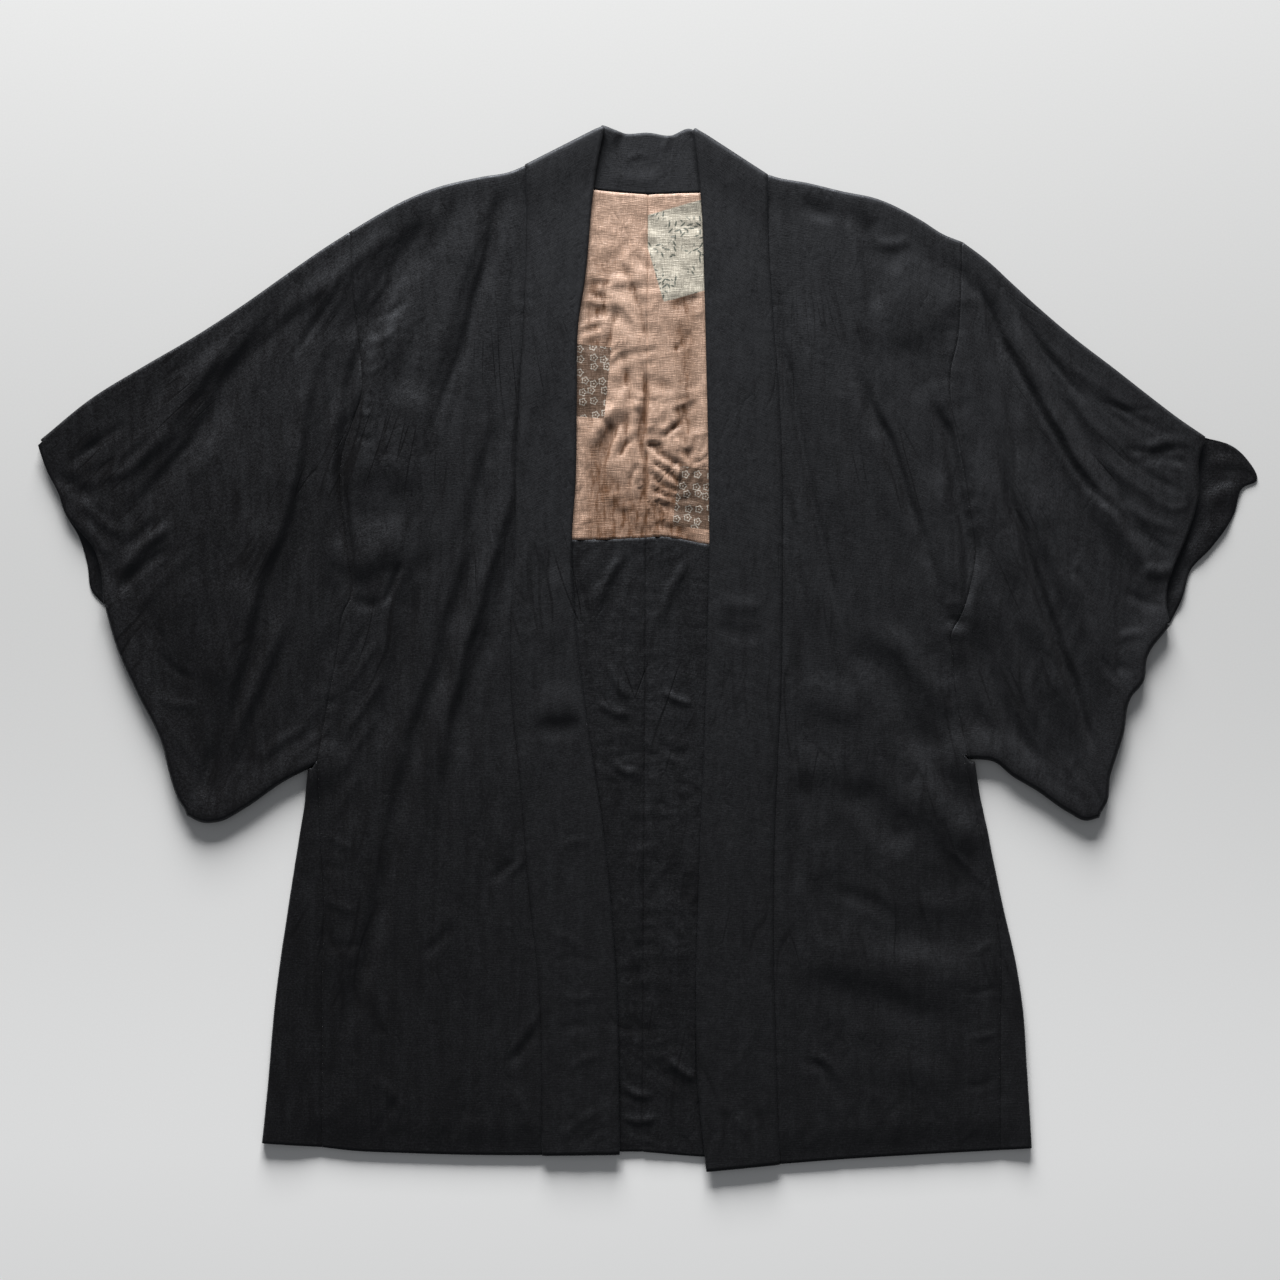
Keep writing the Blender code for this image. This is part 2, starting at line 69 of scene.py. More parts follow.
def curve(rows: Line | Array, shares: Array) -> Array:
    """Points on a smooth curve.

    Args:
        rows: points that the curve passes through.
        shares: how far along the curve each wanted point lies, from 0 to 1.

    Returns:
        One point for each share.
    """
    points = np.array(rows, float)
    lengths = np.linalg.norm(np.diff(points, axis=0), axis=1)
    knots = np.concatenate([[0.0], np.cumsum(lengths)]) / lengths.sum()
    slopes = np.gradient(points, knots, axis=0)
    cell = np.clip(np.searchsorted(knots, shares, side="right") - 1, 0, len(lengths) - 1)
    width = (knots[cell + 1] - knots[cell])[:, None]
    s = (np.asarray(shares) - knots[cell])[:, None] / width
    return (
        (2 * s**3 - 3 * s**2 + 1) * points[cell]
        + (s**3 - 2 * s**2 + s) * width * slopes[cell]
        + (3 * s**2 - 2 * s**3) * points[cell + 1]
        + (s**3 - s**2) * width * slopes[cell + 1]
    )


def evenly(rows: Line | Array, steps: int) -> Array:
    """The curve through the rows, at even steps."""
    return curve(rows, np.linspace(0.0, 1.0, steps + 1))


def shares_of(points: Array) -> Array:
    """Each point's share of the length of the line through them."""
    lengths = np.linalg.norm(np.diff(points, axis=0), axis=1)
    return np.concatenate([[0.0], np.cumsum(lengths)]) / lengths.sum()


def outward(points: Array, within: Array) -> Array:
    """Unit vectors square to a line, away from a point within the piece."""
    along = np.gradient(points, axis=0)
    across = np.stack([-along[:, 1], along[:, 0]], axis=1)
    across /= np.linalg.norm(across, axis=1)[:, None]
    return across * np.sign((across * (points - within)).sum(axis=1))[:, None]


def patch(top: Array, bottom: Array, inner: Array, outer: Array, reach: float = 1.0) -> Array:
    """Grid of points that fills four edges.

    Args:
        top: the first row.
        bottom: the last row.
        inner: the first column.
        outer: the last column.
        reach: above 1, the bends of the last column are kept near it.

    Returns:
        Points in rows from top to bottom and columns from inner to outer.
    """
    v = (shares_of(inner) + shares_of(outer))[:, None, None] / 2
    u = (shares_of(top) + shares_of(bottom))[None, :, None] / 2
    corners = (
        (1 - u) * (1 - v) * top[0] + u * (1 - v) * top[-1] + (1 - u) * v * bottom[0] + u * v * bottom[-1]
    )
    bends = outer[:, None] - (1 - v) * top[-1] - v * bottom[-1]
    straight = (1 - v) * top[None] + v * bottom[None] + (1 - u) * inner[:, None] - corners
    return straight + u * (outer[:, None] - bends) + u**reach * bends


def nearest(points: Array, line: Array) -> tuple[Array, Array, Array]:
    """Where points lie beside a line.

    Args:
        points: places in the plane.
        line: the line's own points.

    Returns:
        Each point's distance from the line, how far along it lies, and +1 on its left or -1 on its right.
    """
    start, step = line[:-1], np.diff(line, axis=0)
    away = points[..., None, :] - start
    share = np.clip((away * step).sum(-1) / (step**2).sum(-1), 0.0, 1.0)
    distance = np.linalg.norm(away - share[..., None] * step, axis=-1)
    best = distance.argmin(-1)[..., None]
    along = (np.take_along_axis(share, best, -1)[..., 0] + best[..., 0]) / len(step)
    turn = step[:, 0] * away[..., 1] - step[:, 1] * away[..., 0]
    hand = np.sign(np.take_along_axis(turn, best, -1)[..., 0])
    return np.take_along_axis(distance, best, -1)[..., 0], along, hand


def softly_above(height: Array, least: float | Array, bend: float = 0.5) -> Array:
    """The height, eased so that it never comes below the least."""
    spare = height - least
    return least + 0.5 * (spare + np.sqrt(spare**2 + bend**2))


class Noise:
    """Smooth repeatable unevenness over a plane, about -1 to 1."""

    CELLS = 128
    GAIN = 1.5

    def __init__(self, seed: int) -> None:
        """Draws one slope for each lattice point from the seed."""
        turns = np.random.default_rng(seed).uniform(0.0, 2.0 * math.pi, (self.CELLS, self.CELLS))
        self.slopes = np.stack([np.cos(turns), np.sin(turns)], axis=-1)

    def at(self, u: Array, v: Array) -> Array:
        """The unevenness at these places, one lattice cell to a unit."""
        column, row = np.floor(u).astype(int), np.floor(v).astype(int)
        du, dv = u - column, v - row
        ease_u, ease_v = du**3 * (du * (du * 6 - 15) + 10), dv**3 * (dv * (dv * 6 - 15) + 10)
        total = np.zeros_like(du)
        for i, share_u in ((0, 1 - ease_u), (1, ease_u)):
            for j, share_v in ((0, 1 - ease_v), (1, ease_v)):
                slope = self.slopes[(column + i) % self.CELLS, (row + j) % self.CELLS]
                total += (slope[..., 0] * (du - i) + slope[..., 1] * (dv - j)) * share_u * share_v
        return self.GAIN * total


# ---------------------------------------------------------------- what lifts the cloth


@dataclass(frozen=True)
class Fold:
    """A ridge, or a trough where its height is negative, that dies away at both ends.

    left and right are its half widths seen along its path. crease is 0 for a round back and 1 for a sharp
    one. ends is the share of the path that each end dies away over.
    """

    path: Line
    left: float
    right: float
    height: float
    crease: float = 0.0
    ends: float = 0.28

    def lift(self, points: Array) -> Array:
        """Height that the fold adds at each point."""
        line = evenly(self.path, 4 * (len(self.path) - 1))
        reach = max(self.left, self.right)
        close = ((points > line.min(axis=0) - reach) & (points < line.max(axis=0) + reach)).all(axis=-1)
        total = np.zeros(points.shape[:-1])
        if close.any():
            distance, along, hand = nearest(points[close], line)
            across = np.clip(distance / np.where(hand > 0, self.left, self.right), 0.0, 1.0)
            shape = (1 - self.crease) * (1 - across**2) ** 2 + self.crease * (1 - across) ** 1.6
            total[close] = self.height * shape * smooth(along / self.ends) * smooth((1 - along) / self.ends)
        return total


@dataclass(frozen=True)
class Crinkle:
    """Many small wrinkles that run out from a point, uneven in depth and length.

    spacing holds at the distance fan from the point, and length is how long a wrinkle runs. within is the
    middle and the reach of the area that has them, or None for all of the cloth. They vary in patches of
    about patch_cell, between the two strengths.
    """

    centre: tuple[float, float]
    fan: float
    spacing: float
    length: float
    height: float
    seed: int
    patchy: float = 0.7
    within: tuple[float, float, float] | None = None
    patch_cell: tuple[float, float] = (75.0, 90.0)
    patch_gain: float = 1.6
    strengths: tuple[float, float] = (0.15, 2.0)
    level: float = 0.75
    depth: float = 2.1

    def lift(self, points: Array) -> Array:
        """Height that the wrinkles add at each point."""
        away = points - np.array(self.centre)
        radius = np.linalg.norm(away, axis=-1)
        around = np.arctan2(away[..., 1], away[..., 0]) * self.fan / self.spacing
        outwards = radius / self.length
        bend = Noise(self.seed).at(around * 0.45, outwards * 0.9)
        wave = Noise(self.seed + 1).at(around + 0.9 * bend, outwards + 0.4 * bend)
        cells = points[..., 0] / self.patch_cell[0], points[..., 1] / self.patch_cell[1]
        patches = Noise(self.seed + 2).at(*cells)
        strength = np.clip(1.0 + self.patch_gain * self.patchy * patches, *self.strengths)
        if self.within is not None:
            x, y, reach = self.within
            strength *= np.exp(-((points[..., 0] - x) ** 2 + (points[..., 1] - y) ** 2) / reach**2)
        return self.height * (self.level - self.depth * np.abs(wave)) * strength


@dataclass(frozen=True)
class Seam:
    """A sewn line: the cloth dips along it and puckers beside it."""

    path: Line
    dip: float
    pucker: float
    seed: int
    width: float = 3.5
    spacing: float = 10.0
    reach: float = 16.0
    strengths: tuple[float, float] = (0.1, 1.6)

    def lift(self, points: Array) -> Array:
        """Height that the seam adds at each point."""
        line = evenly(self.path, 6 * (len(self.path) - 1))
        length = np.linalg.norm(np.diff(line, axis=0), axis=1).sum()
        far = 4 * self.reach
        close = ((points > line.min(axis=0) - far) & (points < line.max(axis=0) + far)).all(axis=-1)
        total = np.zeros(points.shape[:-1])
        if close.any():
            distance, along, hand = nearest(points[close], line)
            run = along * length / self.spacing
            wave = Noise(self.seed).at(run, hand * distance / (2.2 * self.reach))
            strength = 0.6 + 0.9 * Noise(self.seed + 1).at(run / 6.0, np.zeros_like(run))
            strength = np.clip(strength, *self.strengths)
            puckers = self.pucker * wave * strength * np.exp(-distance / self.reach)
            total[close] = puckers - self.dip * np.exp(-((distance / self.width) ** 2))
        return total


@dataclass(frozen=True)
class Relief:
    """All the folds, wrinkles and seams of one stretch of cloth.

    wander is how far the folds stray from their paths, and uneven the share that their heights vary by.
    """

    folds: Sequence[Fold] = ()
    crinkles: Sequence[Crinkle] = ()
    seams: Sequence[Seam] = ()
    seed: int = 0
    wander: float = 2.2
    wander_cell: tuple[float, float] = (34.0, 46.0)
    uneven: float = 0.28
    uneven_cell: float = 48.0

    def at(self, points: Array) -> Array:
        """Height that they add together at each point."""
        cells = points[..., 0] / self.wander_cell[0], points[..., 1] / self.wander_cell[1]
        drift = [Noise(self.seed + number).at(*cells) for number in (70, 71)]
        bent = points + self.wander * np.stack(drift, axis=-1)
        coarse = points / self.uneven_cell
        uneven = 1.0 + self.uneven * Noise(self.seed + 72).at(coarse[..., 0], coarse[..., 1])
        total = np.zeros(points.shape[:-1])
        for fold in self.folds:
            total += fold.lift(bent)
        total *= uneven
        for part in (*self.crinkles, *self.seams):
            total += part.lift(points)
        return total


# ---------------------------------------------------------------- the cut of the jacket


@dataclass(frozen=True)
class Heights:
    """Thicknesses of the cloth, heights of the middle of each layer, and how far its turned edges reach.

    hem_share is the share of the folds' height that is left at the hem. sag and collar_sag are how far an
    inner cloth and the collar may dip. ceiling is the most that an inner cloth rises under the collar.
    open_rise is what is added to it between the collars, over open_reach.
    """

    cloth: float = 0.9
    band: float = 2.4
    thin: float = 0.7
    sag: float = 0.35
    sag_bend: float = 0.4
    collar_sag: float = 0.8
    seam_gap: float = 0.3
    flat: float = 0.75
    rest: float = 5.4
    hem: float = 3.6
    hem_share: float = 0.45
    lowest: float = 1.95
    inner: float = 2.3
    collar: float = 5.2
    roll: float = 3.0
    low_roll: float = 4.0
    edge_reach: float = 32.0
    hem_reach: float = 34.0
    collar_roll: float = 3.1
    collar_back: float = 1.5
    collar_reach: float = 60.0
    under_collar: float = 24.0
    ceiling: float = 0.1
    open_rise: float = 9.0
    open_reach: float = 16.0


STACK = Heights()

# Where the back meets the back-neck collar, from the left neck point to the right one: x, y.
NECKLINE: Line = (
    (-121, 480), (-100, 470), (-78, 463), (-55, 459), (-28, 456), (0, 454), (27, 455), (53, 456), (76, 460),
    (98, 466), (118, 470),
)
CENTRE = len(NECKLINE) // 2
# The outer edge of the back-neck collar beside each point of the neckline: x, y.
NECK_EDGE: Line = (
    (-44, 519), (-44.6, 519.6), (-45.2, 520.2), (-45.8, 520.8), (-22, 514), (0, 515), (22, 512), (44, 518),
    (44.6, 517.6), (45.2, 517.2), (45.8, 516.8),
)
CENTRE_SEAM: Line = ((0, 454), (-6, -502))
# Where the lining meets the hem facing, from the centre seam to under each collar: x, y.
FACING_TOP: dict[int, Line] = {
    -1: ((-2.2, 111), (-40, 109.5), (-76, 109), (-104, 108)),
    1: ((-2.2, 111), (8, 112), (62, 104), (86, 101)),
}
HEM_SHARE = 0.16  # of the back's hem, from the centre, that the facing covers


@dataclass(frozen=True)
class Side:
    """One half of the jacket: its seams and turned edges as lines of x, y, and what lifts its cloth."""

    name: str
    sign: int
    shoulder: Line
    neck_turn: tuple[float, float]
    armhole_turn: tuple[float, float]
    armhole: Line
    gusset_seam: Line
    gusset_edge: Line
    back_side: Line
    hem: Line
    back_hem: Line
    collar_seam: Line
    collar_edge: Line
    sleeve_top: Line
    cuff_back: Line
    cuff_front: Line
    sleeve_end: Line
    sleeve_bottom: Line
    relief: Relief = field(default_factory=Relief)
    cuff_relief: Relief = field(default_factory=Relief)
    armhole_rows: int = 172
    gusset_rows: int = 124

    def moved(self, points: Line | Array, sideways: float = 0.0, up: float = 0.0) -> Array:
        """The points, moved half a seam gap away from this side's middle, and up."""
        return np.array(points, float) + np.array([sideways * self.sign, up]) * STACK.seam_gap / 2

    def front_edge(self) -> Array:
        """The front's long outer edge: down the armhole seam, then down the gusset seam."""
        armhole = evenly(self.armhole, self.armhole_rows)
        return np.concatenate([armhole, evenly(self.gusset_seam, self.gusset_rows)])

    def upper(self, points: Array) -> Array:
        """Height of the middle of the upper layer.

        Args:
            points: places in the plane.

        Returns:
            The height at each place, turned down to a roll at the shoulder and sleeve, and lower at the hem.
        """
        height = STACK.rest + self.relief.at(points)
        hem = nearest(points, np.array(self.hem, float))[0]
        low = smooth(hem / STACK.hem_reach)
        at_hem = STACK.hem + STACK.hem_share * (height - STACK.rest)
        rise = (1 - STACK.hem_share) * height + STACK.hem_share * STACK.rest - STACK.hem
        height = at_hem + low * rise
        edges = (self.shoulder, self.sleeve_top, self.sleeve_bottom, self.sleeve_end)
        for edge, roll in zip(edges, (STACK.roll, STACK.roll, STACK.low_roll, STACK.low_roll)):
            distance = nearest(points, np.array(edge, float))[0]
            rolled = STACK.flat + 2 * roll
            height = rolled + (height - rolled) * smooth((distance - roll) / STACK.edge_reach)
        return softly_above(height, STACK.lowest)

    def under_collar(self, heights: Array) -> Array:
        """Points at these places up the jacket, a little way in under the collar's free edge."""
        edge = np.array(self.collar_edge, float)[::-1]
        across = np.interp(heights, edge[:, 1], edge[:, 0]) + self.sign * STACK.under_collar
        return np.stack([across, heights], axis=1)


LEFT_FOLDS: tuple[Fold, ...] = (
    # On the sleeve.
    Fold(((-343, 369), (-386, 319), (-416, 274), (-448, 219), (-488, 169), (-518, 134), (-530, 115)
          ), 26, 10, -3.4, 0.4),
    Fold(((-356, 377), (-400, 331), (-434, 287), (-468, 235), (-506, 191), (-536, 159)), 11, 28, 2.8, 0.2),
    Fold(((-303, 319), (-330, 292), (-343, 243), (-351, 179), (-364, 129), (-383, 84), (-399, 31),
          (-410, -18), (-426, -81), (-442, -117)), 10, 46, 5.6, 0.3),
    Fold(((-296, 287), (-322, 219), (-334, 149), (-356, 77), (-374, 9), (-386, -51)), 16, 12, -1.2, 0.0),
    Fold(((-292, 277), (-312, 219), (-319, 159), (-317, 99), (-312, 43)), 11, 16, 3.2, 0.0),
    Fold(((-366, 53), (-374, 9), (-390, -33), (-402, -63), (-416, -113)), 13, 14, 3.4, 0.3),
    Fold(((-352, 39), (-362, -1), (-380, -41), (-398, -73), (-408, -111)), 14, 9, -1.0, 0.2),
    Fold(((-423, 249), (-433, 149), (-448, 49), (-452, -51)), 60, 60, 3.0, 0.0),
    Fold(((-298, 387), (-348, 349), (-408, 299), (-458, 257)), 14, 20, 2.2, 0.2),
    Fold(((-318, 387), (-378, 349), (-438, 304), (-498, 264)), 9, 9, -0.9, 0.4),
    Fold(((-520, 229), (-544, 209), (-568, 194)), 7, 7, -1.1, 0.5),
    Fold(((-544, 211), (-564, 194), (-588, 179)), 7, 7, -1.1, 0.5),
    Fold(((-496, 211), (-516, 191), (-540, 173)), 8, 8, -1.1, 0.5),
    Fold(((-458, 229), (-488, 201), (-520, 179), (-552, 165)), 9, 12, 1.3, 0.3),
    Fold(((-598, 179), (-574, 163), (-544, 147)), 12, 12, -1.5, 0.0),
    Fold(((-472, 129), (-502, 104), (-532, 69)), 10, 9, 2.2, 0.3),
    Fold(((-488, 135), (-512, 111), (-530, 97)), 6, 6, -1.3, 0.4),
    Fold(((-470, 107), (-508, 77), (-542, 43)), 8, 8, -1.6, 0.4),
    Fold(((-452, 101), (-484, 69), (-520, 31)), 9, 9, 1.1, 0.2),
    Fold(((-564, 149), (-544, 127), (-522, 111)), 7, 7, 1.2, 0.4),
    Fold(((-570, 133), (-550, 109), (-536, 89)), 7, 7, 1.2, 0.4),
    Fold(((-556, 101), (-546, 77), (-540, 57)), 6, 6, 1.1, 0.3),
    Fold(((-508, 49), (-492, 23), (-480, 3)), 6, 6, -0.8, 0.5),
    Fold(((-520, 37), (-498, -1), (-488, -41)), 7, 7, 0.9, 0.3),
    Fold(((-490, -1), (-470, -23), (-448, -35)), 6, 7, -0.8, 0.5),
    Fold(((-498, -41), (-476, -55), (-444, -59)), 7, 6, 0.9, 0.4),
    Fold(((-484, -75), (-464, -93), (-450, -121)), 7, 7, 0.9, 0.4),
    Fold(((-476, -101), (-462, -127), (-456, -151)), 8, 8, 1.0, 0.3),
    Fold(((-432, -93), (-444, -131), (-450, -159)), 10, 10, -1.5, 0.2),
    Fold(((-464, -151), (-450, -163), (-428, -169)), 7, 5, 1.8, 0.3),
    Fold(((-408, -111), (-416, -137), (-426, -163)), 10, 9, 1.5, 0.2),
    Fold(((-318, -51), (-346, -79), (-376, -99), (-396, -121)), 8, 9, 1.4, 0.3),
    Fold(((-304, -41), (-326, -63), (-352, -83)), 6, 7, -0.9, 0.4),
    Fold(((-312, -73), (-336, -95), (-362, -113)), 7, 7, 1.0, 0.3),
    Fold(((-324, -93), (-338, -105), (-352, -121)), 8, 8, -1.3, 0.3),
    Fold(((-312, 23), (-322, -11), (-330, -51)), 12, 14, -1.0, 0.0),
    Fold(((-276, 269), (-298, 219), (-306, 167), (-302, 119), (-296, 69), (-298, 37)), 6, 7, -3.4, 0.5),
    Fold(((-318, 349), (-336, 319), (-352, 287)), 5, 6, -1.6, 0.4),
    Fold(((-296, 387), (-310, 359), (-326, 331)), 5, 6, -1.4, 0.4),
    # On the shoulder.
    Fold(((-214, 437), (-235, 399), (-258, 366), (-285, 323), (-300, 297)), 30, 22, -4.0, 0.1),
    Fold(((-246, 437), (-278, 404), (-313, 359), (-336, 319)), 18, 28, 3.2, 0.0),
    Fold(((-292, 387), (-308, 369), (-322, 345)), 6, 6, 0.9, 0.5),
    Fold(((-272, 391), (-290, 365), (-302, 343)), 6, 6, 0.8, 0.5),
    Fold(((-256, 381), (-274, 349), (-286, 331)), 6, 6, 0.9, 0.5),
    Fold(((-240, 373), (-256, 343), (-272, 315)), 6, 7, 0.9, 0.4),
    Fold(((-208, 453), (-218, 419), (-230, 387)), 9, 9, 1.0, 0.2),
    Fold(((-192, 459), (-198, 429), (-208, 393)), 7, 7, -0.8, 0.3),
    Fold(((-296, 417), (-338, 395), (-380, 363)), 8, 9, 1.0, 0.3),
    # Beside the armhole.
    Fold(((-272, 349), (-286, 304), (-298, 254), (-304, 209), (-306, 169), (-302, 129), (-296, 89),
          (-296, 43)), 9, 10, -3.6, 0.6),
    Fold(((-236, 359), (-258, 314), (-274, 264), (-282, 209), (-284, 159), (-280, 121)), 30, 16, 3.2, 0.0),
    Fold(((-296, 241), (-284, 235), (-270, 233)), 5, 5, 0.8, 0.4),
    Fold(((-300, 219), (-286, 211), (-272, 209)), 5, 5, -0.8, 0.4),
    Fold(((-292, 277), (-276, 277), (-260, 285)), 5, 5, 0.8, 0.4),
    Fold(((-284, 305), (-266, 309), (-250, 319)), 6, 5, 0.9, 0.4),
    Fold(((-276, 327), (-256, 337), (-238, 349)), 6, 6, -0.8, 0.4),
    # On the front.
    Fold(((-136, 477), (-148, 449), (-158, 405), (-170, 357), (-184, 309), (-201, 257), (-224, 199)
          ), 12, 8, -3.0, 0.5),
    Fold(((-158, 463), (-176, 409), (-192, 349), (-210, 289), (-236, 219)), 12, 30, 2.2, 0.0),
    Fold(((-132, 449), (-141, 389), (-150, 329), (-164, 269)), 10, 14, 1.2, 0.0),
    Fold(((-126, 245), (-135, 187), (-143, 129), (-158, 79), (-170, 39), (-182, 7), (-191, -31),
          (-201, -73), (-208, -113), (-212, -171), (-218, -207)), 9, 22, 4.0, 0.3),
    Fold(((-120, 179), (-132, 109), (-146, 59), (-162, 9), (-180, -41), (-192, -103), (-200, -151)
          ), 16, 9, -1.6, 0.2),
    Fold(((-148, 241), (-168, 151), (-178, 89), (-192, 35), (-214, -43), (-233, -97), (-253, -179),
          (-270, -262), (-295, -357), (-322, -435)), 16, 14, -4.2, 0.3),
    Fold(((-204, 109), (-224, 85), (-239, 47), (-247, 7), (-255, -41), (-274, -117)), 20, 18, -3.4, 0.15),
    Fold(((-148, 229), (-166, 179), (-178, 129), (-196, 79)), 13, 13, -1.2, 0.0),
    Fold(((-302, 69), (-286, 89), (-262, 99), (-238, 97)), 40, 24, 3.4, 0.0),
    Fold(((-228, 269), (-244, 209), (-256, 149)), 40, 40, 2.6, 0.0),
    Fold(((-296, 53), (-282, 45), (-264, 43)), 10, 10, -1.2, 0.2),
    Fold(((-266, 15), (-284, -15), (-304, -45)), 7, 7, 1.0, 0.3),
    Fold(((-260, -23), (-282, -55), (-306, -91)), 7, 8, 1.0, 0.3),
    Fold(((-270, -63), (-288, -95), (-312, -131)), 7, 7, 0.9, 0.3),
    Fold(((-278, 29), (-296, -3), (-308, -27)), 6, 6, -0.8, 0.4),
    Fold(((-284, -121), (-302, -151), (-316, -177)), 7, 7, 0.8, 0.3),
    Fold(((-290, -151), (-296, -251), (-308, -351)), 22, 30, 2.0, 0.0),
    Fold(((-178, -51), (-186, -151), (-196, -251), (-208, -351)), 34, 26, 1.8, 0.0),
    Fold(((-128, -81), (-136, -151), (-142, -221)), 30, 24, 1.4, 0.0),
    Fold(((-132, -207), (-142, -219), (-156, -233)), 8, 8, -1.2, 0.4),
    Fold(((-120, -189), (-126, -209), (-140, -227)), 7, 7, 0.9, 0.3),
    Fold(((-192, -273), (-210, -293), (-228, -309)), 9, 9, -1.0, 0.3),
    Fold(((-112, -377), (-124, -397), (-142, -419)), 9, 9, -1.2, 0.3),
    Fold(((-102, -351), (-118, -377), (-136, -401)), 7, 7, 0.8, 0.3),
    Fold(((-322, -181), (-310, -193), (-292, -201)), 6, 6, 0.8, 0.4),
    Fold(((-326, -213), (-312, -219), (-298, -219)), 6, 6, -0.7, 0.4),
    Fold(((-324, -247), (-304, -257), (-288, -263)), 7, 7, 0.8, 0.3),
    Fold(((-322, -295), (-302, -299), (-282, -295)), 7, 7, -0.7, 0.3),
    Fold(((-276, -427), (-256, -443), (-238, -463)), 8, 8, 0.9, 0.2),
    Fold(((-244, -441), (-260, -465), (-278, -491)), 7, 7, -0.9, 0.4),
    Fold(((-178, -447), (-190, -471), (-202, -495)), 9, 9, -0.8, 0.2),
    Fold(((-148, -431), (-128, -455), (-120, -485)), 10, 10, 0.9, 0.1),
    Fold(((-151, 444), (-165, 377), (-183, 292), (-192, 239), (-205, 203)), 6, 6, -2.0, 0.4),
    Fold(((-156, 231), (-164, 185), (-172, 139)), 6, 6, -1.6, 0.4),
    Fold(((-122, 319), (-126, 249), (-132, 179), (-134, 119)), 6, 6, -2.0, 0.4),
    Fold(((-244, 89), (-256, 59), (-264, 39)), 6, 6, -2.2, 0.4),
    # On the collar.
    Fold(((-116, -51), (-92, -58), (-64, -51)), 28, 26, 1.7, 0.0),
    Fold(((-112, -73), (-92, -78), (-66, -75)), 12, 16, -1.1, 0.0),
    Fold(((-88, 89), (-92, 39), (-92, -11)), 16, 14, 1.5, 0.0),
    Fold(((-66, 89), (-64, 29), (-62, -31)), 14, 10, -1.0, 0.0),
    Fold(((-100, 419), (-103, 319), (-110, 219)), 18, 14, 0.8, 0.0),
    Fold(((-76, 459), (-80, 389), (-86, 319)), 12, 14, -0.6, 0.0),
    Fold(((-88, -199), (-74, -191), (-56, -193)), 6, 6, 0.6, 0.4),
    Fold(((-102, -281), (-82, -287), (-64, -299)), 6, 6, 0.7, 0.4),
    Fold(((-96, -313), (-74, -307), (-52, -313)), 6, 6, -0.6, 0.4),
    Fold(((-92, -341), (-70, -351), (-46, -343)), 7, 6, 0.7, 0.3),
    Fold(((-92, -381), (-72, -375), (-48, -381)), 6, 6, -0.6, 0.4),
    Fold(((-82, -421), (-62, -409), (-42, -407)), 6, 6, 0.7, 0.3),
    Fold(((-88, -489), (-66, -469), (-42, -459)), 7, 7, 0.9, 0.3),
    Fold(((-72, -497), (-52, -483), (-36, -475)), 6, 6, -0.8, 0.3),
    Fold(((-120, 169), (-124, 109), (-124, 49)), 8, 8, 0.8, 0.2),
)

